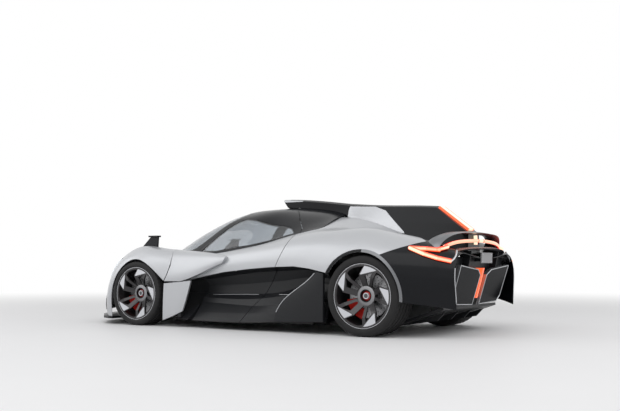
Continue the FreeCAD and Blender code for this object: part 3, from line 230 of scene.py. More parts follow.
# %% Pearl paint
pearl_paint = new_finish("pearl_paint", (0.47, 0.48, 0.50), metallic=0.5, roughness=0.36, coat=0.35,
                         coat_roughness=0.18)
tint(pearl_paint, grain(pearl_paint, 3.0), (0.45, 0.46, 0.48), (0.49, 0.50, 0.52))
relief(pearl_paint, grain(pearl_paint, 1400.0), 0.06, 0.0003)
polish(pearl_paint, 9.0, 0.32, 0.40)
tell(pearl_paint)

# %% [markdown]
# ## Carbon
# The sills, the plates at the tail and the dark top are woven carbon: bundles of fibre two
# millimetres wide, which cross over and under each other. A picture of the weave would have to be
# unwrapped on every panel. Two wave patterns that cross aslant need no unwrapping: their product lifts
# and lowers the bundles, and one wave spans two of them.

# %% Twill weave
bundle = 0.002
half_wave = 0.16    # metres that half a wave takes up at a scale of 1
weave_turn = [math.radians(angle) for angle in (45, 35, 45)]


def twill(finish):
    turned = add_node(finish, "ShaderNodeMapping", Rotation=weave_turn)
    join(place(finish), turned.inputs["Vector"])
    waves = []
    for direction in ("X", "Y"):
        wave = add_node(finish, "ShaderNodeTexWave", bands_direction=direction, Scale=half_wave / bundle)
        join(turned.outputs["Vector"], wave.inputs["Vector"])
        waves.append(wave.outputs["Fac"])
    return both(*waves)


black_shell = new_finish("black_shell", (0.006, 0.007, 0.009), roughness=0.22, shine=0.17, coat=0.08,
                         coat_roughness=0.06)
tint(black_shell, twill(black_shell), (0.003, 0.0035, 0.005), (0.009, 0.010, 0.013))
relief(black_shell, twill(black_shell), 0.04, 0.0003)
dark_carbon = new_finish("dark_carbon", (0.015, 0.016, 0.018), roughness=0.38, shine=0.2, coat=0.06,
                         coat_roughness=0.25)
tint(dark_carbon, twill(dark_carbon), (0.009, 0.0095, 0.011), (0.024, 0.025, 0.028))
relief(dark_carbon, twill(dark_carbon), 0.12, 0.0004)
tell(black_shell, dark_carbon)

# %% [markdown]
# ## Glass, steel and leather
# The glass is a real thin solid, so the shader only needs a dark tint and full transmission. Steel
# changes its polish from place to place, and leather has a fine pebbled relief.

# %% Glass, steel and leather
smoked_glass = new_finish("smoked_glass", (0.55, 0.58, 0.61), roughness=0.02,
                          others={"Transmission Weight": 1.0, "IOR": 1.45})
relief(smoked_glass, grain(smoked_glass, 1.2), 0.002, 0.001)
clear_lens = new_finish("clear_lens", (0.85, 0.87, 0.90), roughness=0.03,
                        others={"Transmission Weight": 0.7})
relief(clear_lens, grain(clear_lens, 300.0), 0.1, 0.0005)

dark_steel = new_finish("dark_steel", (0.16, 0.165, 0.17), metallic=1.0, roughness=0.45)
polish(dark_steel, 60.0, 0.38, 0.55)
cabin_leather = new_finish("cabin_leather", (0.035, 0.034, 0.036), roughness=0.6)
tint(cabin_leather, grain(cabin_leather, 25.0), (0.028, 0.027, 0.029), (0.045, 0.043, 0.046))
relief(cabin_leather, grain(cabin_leather, 450.0, detail=6.0), 0.35, 0.0008)
tell(smoked_glass, clear_lens, dark_steel, cabin_leather)

# %% [markdown]
# ## Lamps with a hot core
# The tail lamps shine by themselves, weakly enough that the red stays red in the picture. They are
# brightest along the line that faces outwards and fall off to deep red at their edges. On the round
# lamps the facing line is found from the normal, on the two flat strips in the middle plane from the
# distance to that plane. The lower strip also grows dimmer towards its foot. One ramp turns the result
# into a colour.

# %% Tail lamps
strip_half_width = 0.074      # what lies nearer to the middle plane than this is a strip
strip_edge, strip_core_edge = 0.088, 0.035
dim_height, bright_height = 0.62, 0.80
hot_lamp = new_finish("hot_lamp", (0.6, 0.02, 0.01), roughness=0.25, coat=0.4,
                      others={"Emission Strength": 1.15})
spot = apart(place(hot_lamp))
backwards = calc("MULTIPLY", facing_of(hot_lamp, "X"), -1.0)
outwards = either(size_of(facing_of(hot_lamp, "Y")), backwards)
round_core = ranged(outwards, 0.40, 0.90)
off_middle = size_of(spot["Y"])
strip_core = both(ranged(off_middle, strip_edge, strip_core_edge),
                  ranged(spot["Z"], dim_height, bright_height, 0.35, 1.0))
is_strip = below(off_middle, strip_half_width)
is_round = calc("SUBTRACT", 1.0, is_strip)
core = calc("ADD", both(round_core, is_round), both(strip_core, is_strip))
glow = add_node(hot_lamp, "ShaderNodeValToRGB")
glow.color_ramp.elements[0].color = (0.75, 0.012, 0.006, 1)
glow.color_ramp.elements[1].color = (1.0, 0.86, 0.62, 1)
warm = glow.color_ramp.elements.new(0.5)
warm.color = (1.0, 0.22, 0.07, 1)
join(core, glow.inputs["Fac"])
join(glow.outputs["Color"], shader_of(hot_lamp).inputs["Emission Color"])
relief(hot_lamp, grain(hot_lamp, 220.0), 0.1, 0.0006)
tell(hot_lamp)

# %% [markdown]
# ## Wheels
# The rims are painted near black and then turned on a lathe, which leaves the outer facets bright.
# The facets stand a few millimetres proud of the spokes in the frame, so the finish can tell them by
# how far out from the middle of the car they lie: the shader reads the width coordinate and swaps
# paint for bare metal beyond that depth. The centre nut and a thin line on the lip are bright too, and
# a red ring lies round the nut. The fine rings of the lathe are waves round the axle.

# %% Rim finish
nut_radius, red_ring_radius = 0.0285, 0.0465
facet_depth = 0.0085          # from the tyre's outer face in to where the facets begin
facet_margin, lip_width = 0.0190, 0.0035


def rim_finish(name, axle, face_depth, facet_reach, lip_line):
    finish = new_finish(name, (0.03, 0.031, 0.034), metallic=0.6, roughness=0.38, coat=0.3)
    radius = from_axle(finish, axle)
    proud = above(size_of(apart(place(finish))["Y"]), face_depth)
    facets = both(proud, below(radius, facet_reach))
    nut_or_lip = either(below(radius, nut_radius), above(radius, lip_line))
    paint = tint(finish, either(facets, nut_or_lip), (0.045, 0.043, 0.045), (0.60, 0.61, 0.64))
    red_ring = both(above(radius, nut_radius), below(radius, red_ring_radius))
    blend = add_node(finish, "ShaderNodeMix", data_type="RGBA")
    join(red_ring, blend.inputs["Factor"])
    join(paint.outputs["Color"], blend.inputs["A"])
    blend.inputs["B"].default_value = (0.55, 0.02, 0.015, 1)
    join(blend.outputs["Result"], shader_of(finish).inputs["Base Color"])
    shift = add_node(finish, "ShaderNodeMapping", Location=(-axle[0], 0, -axle[1]))
    join(place(finish), shift.inputs["Vector"])
    rings = add_node(finish, "ShaderNodeTexWave", wave_type="RINGS", rings_direction="Y", Scale=160.0)
    join(shift.outputs["Vector"], rings.inputs["Vector"])
    relief(finish, rings.outputs["Fac"], 0.06, 0.0003)
    return finish


rim_finishes = {}
for end in ends:
    tyre_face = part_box(f"tyre_{end}_left")[1][1]
    rim_low, rim_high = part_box(f"rim_{end}_left")
    lip_radius = (rim_high[0] - rim_low[0]) / 2
    rim_finishes[end] = rim_finish(f"{end}_rim_alloy", axles[end], tyre_face - facet_depth,
                                   lip_radius - facet_margin, lip_radius - lip_width)
tell(*rim_finishes.values())

# %% [markdown]
# The brake discs are drilled. The holes are too small to need a mesh, so the shader counts rings
# outwards and steps round the axle, measures how far a point lies from the middle of the nearest hole,
# and dents it there and paints it near black, a painted shade for the inside of the hole. Each ring of
# holes is turned a little against the one inside it.


# %% Drilled discs
def disc_finish(name, axle, holes_round=22, ring_pitch=0.019, hole_radius=0.0042, ring_turn=0.37):
    finish = new_finish(name, (0.30, 0.30, 0.31), metallic=1.0, roughness=0.35)
    across_x, across_z = steps_from_axle(finish, axle)
    radius = from_axle(finish, axle)
    rings_out = calc("DIVIDE", radius, ring_pitch)
    off_ring = calc("SUBTRACT", calc("FRACT", rings_out), 0.5)
    off_ring = calc("MULTIPLY", off_ring, ring_pitch)
    angle = calc("ARCTAN2", across_z, across_x)
    turn = calc("MULTIPLY", angle, holes_round / (2 * math.pi))
    shifted = calc("MULTIPLY", calc("FLOOR", rings_out), ring_turn)
    turn = calc("ADD", calc("ADD", turn, shifted), holes_round)
    off_hole = calc("SUBTRACT", calc("FRACT", turn), 0.5)
    off_hole = calc("MULTIPLY", off_hole, calc("MULTIPLY", radius, 2 * math.pi / holes_round))
    solid = above(length_of(off_ring, off_hole), hole_radius)
    # The holes are painted near black: painted shade standing for their depth.
    tint(finish, solid, (0.01, 0.01, 0.01), (0.34, 0.34, 0.35))
    relief(finish, solid, 0.6, 0.001)
    polish(finish, 160.0, 0.28, 0.46)
    return finish


disc_finishes = {end: disc_finish(f"drilled_disc_{end}", axles[end]) for end in ends}
tell(*disc_finishes.values())

# %% [markdown]
# ## Two finishes on one solid
# Some solids carry two finishes, as a dark upright with a lacquered brake caliper does. `two_tone`
# takes a mask and blends colour, metal and roughness with it. The masks are worked out from the place
# on the solid: how far a point lies from the axle, how far back it lies, or which way its face looks.


# %% Blend two tones by a mask
def two_tone(name, mask_of, first, second, shine=0.2):
    """Each tone is a colour, how metallic it is, and its roughness."""
    finish = new_finish(name, *first, shine=shine)
    mask = mask_of(finish)
    tint(finish, mask, first[0], second[0])
    for socket, low, high in (("Metallic", first[1], second[1]), ("Roughness", first[2], second[2])):
        if low != high:
            join(ranged(mask, 0.0, 1.0, low, high), shader_of(finish).inputs[socket])
    relief(finish, grain(finish, 260.0), 0.08, 0.0004)
    return finish


def outside(axle, radius):
    return lambda finish: above(from_axle(finish, axle), radius)


def behind(station):
    return lambda finish: below(apart(place(finish))["X"], station)


def looking_off(axis, limit):
    return lambda finish: below(size_of(facing_of(finish, axis)), limit)


steel_tone = ((0.10, 0.103, 0.108), 0.9, 0.45)
red_tone = ((0.50, 0.018, 0.012), 0.0, 0.32)
silver_tone = ((0.46, 0.47, 0.49), 0.9, 0.34)
black_tone = ((0.006, 0.0065, 0.008), 0.0, 0.26)
carbon_tone = ((0.014, 0.015, 0.017), 0.0, 0.38)
lip_tone = ((0.20, 0.205, 0.215), 0.8, 0.4)
blade_tone = ((0.20, 0.205, 0.215), 0.85, 0.36)
plate_tone = ((0.30, 0.30, 0.31), 0.0, 0.45)
boss_tone = ((0.27, 0.27, 0.28), 0.85, 0.4)
print("tones ready")

# %% [markdown]
# The caliper is what reaches further from the axle than the upright does. The arch lips turn from black
# to metal at the top of the rear wheel; on the rear lip, which is grey metal all along, that black is
# painted shade. The blank plate is the rearmost part of the tail panel, and the wings and deflectors are
# bright on their narrow edges. The scoop gets silver lines round its mouth.

# %% The two-tone finishes
caliper_radius, boss_dark_radius = 0.1235, 0.0565
painted_shade_end, plate_front = -1.45, -2.2165
scoop_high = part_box("roof_scoop")[1]
scoop_front, scoop_top = scoop_high[0], scoop_high[2]
edge_length, upper_lip_length, lower_lip_length = 0.25, 0.08, 0.11
edge_start, upper_lip_height, lower_lip_drop = 0.112, 0.030, 0.155


def scoop_lips(finish):
    """Silver lines the mouth above and below, and runs back a little way along the two upper edges."""
    spot = apart(place(finish))
    at_mouth = above(spot["X"], scoop_front - upper_lip_length)
    at_edge = both(above(spot["X"], scoop_front - edge_length), above(size_of(spot["Y"]), edge_start))
    upper = both(either(at_mouth, at_edge), above(spot["Z"], scoop_top - upper_lip_height))
    lower = both(above(spot["X"], scoop_front - lower_lip_length),
                 below(spot["Z"], scoop_top - lower_lip_drop))
    return either(upper, lower)


upright_finishes, boss_finishes = {}, {}
for end, axle in axles.items():
    caliper, boss = outside(axle, caliper_radius), outside(axle, boss_dark_radius)
    upright_finishes[end] = two_tone(f"{end}_upright", caliper, steel_tone, red_tone)
    boss_finishes[end] = two_tone(f"{end}_hub_boss", boss, black_tone, boss_tone)
scoop_finish = two_tone("scoop_shell", scoop_lips, black_tone, silver_tone)
deflector_finish = two_tone("deflector_shell", looking_off("X", 0.6), black_tone, silver_tone, shine=0.05)
# The black ahead of the top of the rear wheel is painted shade on the rear lip's grey metal.
arch_lip_metal_and_shade = two_tone("arch_lip", behind(painted_shade_end), black_tone, lip_tone)
wing_finish = two_tone("wing_blade", looking_off("Z", 0.3), blade_tone, silver_tone)
panel_finish = two_tone("tail_panel_shell", behind(plate_front), carbon_tone, plate_tone)
tell(*upright_finishes.values(), *boss_finishes.values(), scoop_finish, deflector_finish, arch_lip_metal_and_shade,
     wing_finish, panel_finish)

# %% [markdown]
# ## Dressing the frame
# Every solid that keeps its shape only needs its finish put in its material slots. The names of the
# nodes say what they are, so a list of finishes with the starts of those names does them all. The tyres
# are not in it, because new ones replace them.

# %% Give each solid its finish
dressing = [
    (pearl_paint, "front_clam door_band door_blade deflector_plates haunches fin_cheeks"),
    (black_shell, "rear_quarters canopy door_frame tail_fin"),
    (dark_carbon, "door_lower side_intakes side_pods sill_toes diffuser front_splitter mirror_fins tub"),
    (smoked_glass, "door_glass windscreen"), (clear_lens, "headlamps"), (hot_lamp, "tail_lights"),
    (dark_steel, "chassis"), (cabin_leather, "seats dashboard"), (scoop_finish, "roof_scoop"),
    (wing_finish, "wings"), (deflector_finish, "tail_deflectors"), (panel_finish, "tail_panel"),
    (arch_lip_metal_and_shade, "arch_lips"), (upright_finishes["front"], "knuckle"),
    (upright_finishes["rear"], "rear_uprights"),
]
for end in ends:
    dressing += [(disc_finishes[end], f"disc_{end}"), (rim_finishes[end], f"rim_{end}")]


def dress(node, finish):
    if not node.material_slots:
        node.data.materials.append(finish)
    for slot in node.material_slots:
        slot.material = finish


dressed = 0
for finish, starts in dressing:
    for name, node in nodes.items():
        if name.startswith(tuple(starts.split())):
            dress(node, finish)
            dressed += 1
print("dressed", dressed, "of", len(nodes), "solids")

# %% [markdown]
# ## New pieces
# `new_piece` hangs a mesh on a body of the frame. `mesh_of` builds a mesh from corners and faces, smooth
# but for its sharp edges. `tube` sweeps a round section along a line. `side_plate` gives an outline seen
# from the side a thickness across the car.


# %% Helpers that make pieces
def add_object(name, data):
    added = bpy.data.objects.new(name, data)
    bpy.context.collection.objects.link(added)
    return added


def new_piece(name, data, body, slot, finish, *replaced):
    piece = add_object(name, data)
    data.materials.append(finish)
    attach(piece, body)
    if replaced:
        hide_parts(*replaced)
    return piece


def smooth(data, sharp_from):
    data.shade_smooth()
    data.set_sharp_from_angle(angle=math.radians(sharp_from))


def mesh_of(name, corners, faces, sharp_from=45):
    data = bpy.data.meshes.new(name)
    data.from_pydata([tuple(corner) for corner in corners], [], faces)
    build = bmesh.new()
    build.from_mesh(data)
    bmesh.ops.recalc_face_normals(build, faces=build.faces)
    build.to_mesh(data)
    build.free()
    smooth(data, sharp_from)
    return data


def tube(name, points, radius, body, slot, finish, order=3, closed=False):
    line = bpy.data.curves.new(name, "CURVE")
    line.dimensions = "3D"
    line.bevel_depth = radius
    line.bevel_resolution = 4
    line.use_fill_caps = True
    path = line.splines.new("NURBS")
    path.points.add(len(points) - 1)
    for spot, point in zip(path.points, points):
        spot.co = (*point, 1)
    path.order_u = order
    path.use_endpoint_u = not closed
    path.use_cyclic_u = closed
    holder = bpy.data.objects.new(name + "_line", line)
    data = bpy.data.meshes.new_from_object(holder)
    bpy.data.objects.remove(holder)
    smooth(data, 50)
    return new_piece(name, data, body, slot, finish)


def side_plate(name, outline, middle, thick, slot, finish, round_steps=0):
    corners = [(x, middle + across, z) for across in (-thick / 2, thick / 2) for x, z in outline]
    count = len(outline)
    faces = [tuple(range(count)), tuple(range(count, 2 * count))]
    faces += [(i, (i + 1) % count, count + (i + 1) % count, count + i) for i in range(count)]
    plate = new_piece(name, mesh_of(name, corners, faces), "body", slot, finish)
    if round_steps:
        bevel = plate.modifiers.new("rounded", "BEVEL")
        bevel.width = 0.003
        bevel.segments = round_steps
    return plate


# %% [markdown]
# Two more helpers list the faces of shapes that come back: a closed section turned all the way round an
# axle, and a sheet of two layers that is closed round its edge. `surface_at` looks along a line at the
# frame's solids and says where it meets them, so that a piece can be laid on the panel that carries it.


# %% Helpers that list faces and find surfaces
def ring_faces(steps, count):
    faces = []
    for step in range(steps):
        here, there = step * count, (step + 1) % steps * count
        for i in range(count):
            j = (i + 1) % count
            faces.append((here + i, here + j, there + j, there + i))
    return faces


def sheet_faces(rows, wide):
    """The corners come row by row, first those of the front layer, then those of the back layer."""
    back = rows * wide
    faces = []
    for row in range(rows - 1):
        for column in range(wide - 1):
            a = row * wide + column
            faces.append((a, a + 1, a + wide + 1, a + wide))
            faces.append((back + a, back + a + wide, back + a + wide + 1, back + a + 1))
        for a in (row * wide, (row + 1) * wide - 1):
            faces.append((a, a + wide, back + a + wide, back + a))
    for start in (0, (rows - 1) * wide):
        for a in range(start, start + wide - 1):
            faces.append((a, a + 1, back + a + 1, back + a))
    return faces


def surface_at(node, start, direction):
    hit, point, normal, _ = nodes[node].ray_cast(Vector(start), Vector(direction))
    return (point, normal) if hit else None


bpy.context.view_layer.update()
# Bright metal for the lamp rods, screws and deflector edges, and for the tubes that are painted highlights
# along panel edges.
bright_trim = new_finish("bright_trim", (0.50, 0.51, 0.53), metallic=0.9, roughness=0.3)
polish(bright_trim, 120.0, 0.25, 0.38)
tell(bright_trim)

# %% [markdown]
# ## Tyres
# The frame's tyre is a plain turned ring. A road tyre has grooves round it that carry water away,
# and finer cuts across its blocks. The tyre here is a closed outline turned about the axle, as a
# tyre is moulded: the grooves are dips in the outline, and the cuts are dips that come back at even
# steps round the wheel. The sidewall gets a few raised rings and is left without any writing.

# %% Tyre rubber and outline
tyre_rubber = new_finish("tyre_rubber", (0.012, 0.012, 0.013), roughness=0.7, shine=0.3)
tint(tyre_rubber, grain(tyre_rubber, 14.0), (0.009, 0.009, 0.010), (0.018, 0.0175, 0.0175))
relief(tyre_rubber, grain(tyre_rubber, 600.0), 0.25, 0.0005)


def tyre_outline(outer, width, lip):
    """Points (across, radius, on the tread), from the inner bead over the tread to the outer one."""
    half = width / 2
    wall = [(half - 0.016, lip - 0.008), (half - 0.010, lip + 0.001), (half - 0.0035, lip + 0.010),
            (half - 0.0005, lip + 0.019), (half, (lip + outer) / 2 - 0.002),
            (half - 0.0015, (lip + outer) / 2 + 0.006), (half - 0.004, outer - 0.014),
            (half - 0.010, outer - 0.0055)]
    shoulder, shoulder_drop = half - 0.024, 0.0012
    tread = [(shoulder, outer - shoulder_drop)]
    for share in (0.56, 0.19, -0.19, -0.56):
        for step, drop in ((0.0075, 0.0004), (0.0062, 0.0065), (-0.0062, 0.0065), (-0.0075, 0.0004)):
            tread.append((half * share + step, outer - drop))
    tread.append((-shoulder, outer - shoulder_drop))
    section = [(across, radius, False) for across, radius in wall]
    section += [(across, radius, True) for across, radius in tread]
    section += [(-across, radius, False) for across, radius in reversed(wall)]
    return section


tell(tyre_rubber)

# %% [markdown]
# The cuts stand on the outer ribs only, two steps wide in every six. They run aslant, because what lies
# further out starts its cuts sooner.

# %% Turn the tyres
tread_steps, cut_every, cut_wide, cut_slant, cut_depth = 288, 6, 2, 8, 0.0035
smooth_middle = 0.13      # the share of the width, each side of the middle, that has no cuts
rib_drop = 0.003          # what lies less than this below the tread's top is a rib


def turned_tyre(name, node, body, lip):
    low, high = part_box(node)
    middle = Vector(middle_of(node))
    outer, width = (high[2] - low[2]) / 2, high[1] - low[1]
    section = tyre_outline(outer, width, lip)
    corners = []
    for step in range(tread_steps):
        angle = 2 * math.pi * step / tread_steps
        for across, radius, on_tread in section:
            skew = int(round(abs(across) / width * cut_slant))
            in_cut = (step + skew) % cut_every < cut_wide and abs(across) > width * smooth_middle
            on_rib = on_tread and radius > outer - rib_drop
            reach = radius - (cut_depth if in_cut and on_rib else 0.0)
            corners.append(middle + Vector((reach * math.sin(angle), across, reach * math.cos(angle))))
    data = mesh_of(name, corners, ring_faces(tread_steps, len(section)), sharp_from=38)
    return new_piece(name, data, body, "tyre", tyre_rubber, node)


for end, lip in (("front", 0.2715), ("rear", 0.2845)):
    for side_name, side in sides:
        where = f"{end}_{side_name}"
        tyre = turned_tyre(f"treaded_tyre_{where}", f"tyre_{where}", f"wheel_{where}", lip)
        print(tyre.name, len(tyre.data.polygons), "faces")

# %% [markdown]
# ## Hub bosses
# A broad turned boss lies round each centre nut and covers the roots of the spokes. How far out the
# hub and the web of the rim reach is read from the frame, by looking in at a ring of points, so that
# the boss sits right on the rim even when its sizes change.

# %% Turned bosses
hub_radius, web_radius = 0.046, 0.086
probe_steps, boss_steps = 30, 72


def around(middle, radius, angle, out):
    return middle[0] + radius * math.cos(angle), out, middle[2] + radius * math.sin(angle)


def reach_at(node, middle, radius, side):
    reached = []
    for step in range(probe_steps):
        start = around(middle, radius, 2 * math.pi * step / probe_steps, side * 2)
        hit = surface_at(node, start, (0, -side, 0))
        if hit:
            reached.append(abs(hit[0].y))
    return max(reached)


for end in ends:
    for side_name, side in sides:
        node, name = f"rim_{end}_{side_name}", f"hub_boss_{end}_{side_name}"
        middle = middle_of(node)
        hub_out, web_out = (reach_at(node, middle, radius, side) for radius in (hub_radius, web_radius))
        top = max(hub_out, web_out) + 0.004
        section = [(0.0470, hub_out - 0.002), (0.0470, top), (0.0485, top + 0.001), (0.0500, top + 0.001),
                   (0.0515, top - 0.002), (0.0570, top - 0.002), (0.0585, top + 0.001),
                   (0.0780, top - 0.001), (0.0850, top - 0.004), (0.0880, web_out - 0.001),
                   (0.0880, web_out - 0.006)]
        corners = [around(middle, radius, 2 * math.pi * step / boss_steps, side * out)
                   for step in range(boss_steps) for radius, out in section]
        data = mesh_of(name, corners, ring_faces(boss_steps, len(section)))
        new_piece(name, data, f"wheel_{end}_{side_name}", "alloy", boss_finishes[end])
        print("hub boss", end, side_name, round(hub_out, 4), round(web_out, 4))

# %% [markdown]
# ## Painted highlights along the panel edges
# The side pods and the rear quarters end in an edge that catches the light, and a thin bright line laid
# there is a painted highlight. `edge_line` finds that edge: at each height it looks in from the side and
# halves the step until it stands on the last point that hits. A finer bright line, a painted highlight
# too, follows the crease of the shelf that runs along the hollow of the side and on over the door.


# %% Edge lines, laid as painted highlights
def edge_line(node, side, heights, inner, outer):
    """Inner is a place along the car that is surely on the panel, outer one that is surely off it."""
    points = []
    for height in heights:
        on_panel, off_panel = inner, outer
        found = surface_at(node, (on_panel, side * 2, height), (0, -side, 0))
        for _ in range(12):
            between = (on_panel + off_panel) / 2
            hit = surface_at(node, (between, side * 2, height), (0, -side, 0))
            if hit:
                on_panel, found = between, hit
            else:
                off_panel = between
        if found:
            points.append(found[0])
    return points


def shelf_highlight_line(node, side, start, end):
    points = []
    for step in range(9):
        station = start + (end - start) * step / 8
        height = 0.345 - 0.02 * (station + 0.4)
        hit = surface_at(node, (station, side * 2, height), (0, -side, 0))
        if hit:
            points.append(hit[0])
    return points


pod_heights = (0.555, 0.52, 0.47, 0.42, 0.37, 0.31, 0.25, 0.19)
quarter_heights = (0.60, 0.54, 0.48, 0.42, 0.36, 0.30)
# Each of these four bright tubes is a painted highlight where an edge or crease catches the light.
for side_name, side in sides:
    lines = (
        ("pod_edge_highlight", edge_line("side_pods", side, pod_heights, -1.0, -0.40), 0.0035, "body"),
        ("quarter_edge_highlight", edge_line("rear_quarters", side, quarter_heights, -1.95, -2.35), 0.004, "body"),
        ("shelf_highlight_rear", shelf_highlight_line("side_intakes", side, -0.72, -0.44), 0.0025, "body"),
        ("shelf_highlight_door", shelf_highlight_line(f"door_lower_{side_name}", side, -0.36, 0.44), 0.0025,
         f"door_{side_name}"),
    )
    for start, points, radius, body in lines:
        tube(f"{start}_{side_name}", points, radius, body, "trim", bright_trim)
    print("edge lines", side_name, [len(points) for _, points, _, _ in lines], "points")

# %% [markdown]
# ## Tail details
# The open V of each lamp is closed by a bright rod that leads up to the wing blades, and a short red
# link carries the light across to the bar. Two dark pillars stand between the lower blade and the
# deflectors, and the fin's lamp stands on a red foot. These lines are given by their points, with the
# distance from the middle plane second.

# %% Rods, links and pillars
rod_line = [(-2.183, 0.735, 0.652), (-2.195, 0.690, 0.672), (-2.200, 0.640, 0.715), (-2.185, 0.600, 0.752)]
link_line = [(-2.060, 0.757, 0.760), (-2.095, 0.720, 0.766), (-2.125, 0.650, 0.786)]
foot_line = [(-2.116, 0, 0.900), (-2.118, 0, 0.860), (-2.118, 0, 0.815)]
pillar_outline = [(-2.215, 0.752), (-2.100, 0.752), (-2.095, 0.600), (-2.180, 0.600)]


def on_side(line, side):
    return [(x, side * y, z) for x, y, z in line]


for side_name, side in sides:
    tube(f"lamp_rod_{side_name}", on_side(rod_line, side), 0.009, "body", "trim", bright_trim)
    tube(f"lamp_link_{side_name}", on_side(link_line, side), 0.018, "body", "lamp", hot_lamp)
    side_plate(f"tail_pillar_{side_name}", pillar_outline, side * 0.33, 0.012, "carbon", dark_carbon,
               round_steps=3)
tube("fin_lamp_foot", foot_line, 0.017, "body", "lamp", hot_lamp)
print("rods, links and pillars placed")

# %% [markdown]
# Four small domed screws hold the blank plate, and a larger one on each door is its button. Each is a flat
# dome, built ring by ring and laid square to the face that the ray meets.


# %% Domed screws
def domed_screw(name, hit, radius, height, body, steps=20, rings=5):
    centre, outward = hit
    turn = outward.to_track_quat("Z", "Y")
    corners, faces = [], []
    for ring in range(rings):
        rise = math.pi / 2 * ring / rings
        for step in range(steps):
            angle, reach = 2 * math.pi * step / steps, radius * math.cos(rise)
            corners.append(centre + turn @ Vector((reach * math.cos(angle), reach * math.sin(angle),
                                                   height * math.sin(rise))))
    for ring in range(rings - 1):
        for step in range(steps):
            here, there = ring * steps, (ring + 1) * steps
            after = (step + 1) % steps
            faces.append((here + step, here + after, there + after, there + step))
    faces.append(tuple(range(steps)))
    faces.append(tuple((rings - 1) * steps + step for step in range(steps)))
    return new_piece(name, mesh_of(name, corners, faces), body, "steel", bright_trim)


plate_corners = [(across, height) for height in (0.725, 0.660) for across in (0.105, -0.105)]
for number, (across, height) in enumerate(plate_corners):
    hit = surface_at("tail_panel", (-3.0, across, height), (1, 0, 0))
    domed_screw(f"plate_screw_{number}", hit, 0.006, 0.004, "body")
for side_name, side in sides:
    hit = surface_at(f"door_lower_{side_name}", (0.05, side * 2, 0.575), (0, -side, 0))
    domed_screw(f"door_button_{side_name}", hit, 0.011, 0.006, f"door_{side_name}")
print("screws", len(plate_corners), "door buttons", len(sides))

# %% [markdown]
# The two deflectors are edged in bright metal. Their outline is given here by its corners, a little
# inside the edge, and each corner is laid on the face by looking forward at it from behind.

# %% Deflector edges
deflector_corners = [(0.580, 0.622), (0.162, 0.584), (0.080, 0.536), (0.080, 0.266), (0.517, 0.281),
                     (0.569, 0.333)]
for side_name, side in sides:
    outline = [surface_at("tail_deflectors", (-3.0, side * across, height), (1, 0, 0))[0]
               for across, height in deflector_corners]
    tube(f"deflector_edge_{side_name}", outline, 0.0045, "body", "trim", bright_trim, order=2, closed=True)
print("deflector edges", len(sides))

# %% [markdown]
# ## Nose screens
# Air for the coolers goes in through three screens low in the nose. Each is a thin mesh panel laid on
# the nose: rows of points across it are cast back on to the panel behind and lifted off it a little. The
# wires are the borders between even square cells, turned to stand on a corner. The shader draws them,
# because real holes would take many thousands of faces, and paints the cells between them near black as
# painted shade for the openings.

# %% Mesh finish and screens
wire_width = 0.12
intake_mesh = new_finish("intake_mesh", (0.02, 0.02, 0.022), roughness=0.5, shine=0.3)
on_corner = add_node(intake_mesh, "ShaderNodeMapping", Rotation=(math.radians(45), 0, 0))
join(place(intake_mesh), on_corner.inputs["Vector"])
cells = add_node(intake_mesh, "ShaderNodeTexVoronoi", feature="DISTANCE_TO_EDGE", Scale=75.0,
                 Randomness=0.0)
join(on_corner.outputs["Vector"], cells.inputs["Vector"])
wires = below(cells.outputs["Distance"], wire_width)
# The cells are painted near black, painted shade seen through the openings; the wires are dark metal.
tint(intake_mesh, wires, (0.003, 0.003, 0.003), (0.06, 0.06, 0.065))
relief(intake_mesh, wires, 0.8, 0.002)


def nose_screen(name, rows, lift=0.004, thick=0.003, columns=20):
    """Rows run upwards: each gives its height and the places across where it starts and ends."""
    off_seam = 0.0004     # a ray in the middle plane could slip through the seam there
    front, back = [], []
    for height, start, end in rows:
        for column in range(columns + 1):
            across = start + (end - start) * column / columns
            point, normal = surface_at("front_clam", (4.0, across + off_seam, height), (-1, 0, 0))
            front.append(point + normal * lift)
            back.append(point + normal * (lift - thick))
    data = mesh_of(name, front + back, sheet_faces(len(rows), columns + 1))
    return new_piece(name, data, "body", "carbon", intake_mesh)


outer_rows = [(0.135, 0.50, 0.80), (0.17, 0.48, 0.84), (0.21, 0.50, 0.85), (0.25, 0.56, 0.85),
              (0.285, 0.66, 0.84)]
middle_rows = [(0.205, -0.36, 0.36), (0.230, -0.37, 0.37), (0.255, -0.34, 0.34)]
for side_name, side in sides:
    nose_screen(f"nose_screen_{side_name}", [(height, side * a, side * b) for height, a, b in outer_rows])
nose_screen("nose_screen_middle", middle_rows)
tell(intake_mesh)

# %% [markdown]
# ## Seats
# Each seat is a thin carbon shell with a leather pad in it. Both follow one side view, a row of
# stations from the front lip over the cushion and up the back to the head, with a half width and the
# height of the side bolsters at each. `seat_point` turns a place along and across that sheet into a
# point, so the straps of the harness can be laid on the same sheet a few millimetres higher.

# %% The seat sheet
seat_stations = [      # x, z, half width, height of the bolsters
    (0.075, 0.205, 0.170, 0.010), (0.045, 0.232, 0.185, 0.024), (-0.10, 0.200, 0.195, 0.042),
    (-0.235, 0.178, 0.195, 0.050), (-0.300, 0.235, 0.190, 0.055), (-0.375, 0.42, 0.195, 0.062),
    (-0.450, 0.60, 0.198, 0.058), (-0.490, 0.70, 0.175, 0.035), (-0.520, 0.785, 0.118, 0.012),
    (-0.552, 0.865, 0.105, 0.008), (-0.572, 0.905, 0.085, 0.0),
]
seat_low, seat_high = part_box("seats")
tunnel_half = 0.15
seat_middle = (tunnel_half + seat_high[1]) / 2
crown, channel_depth, channel_reach = 0.010, 0.007, 0.6
shell_width, pad_width = 1.04, 0.90     # shares of the sheet's width


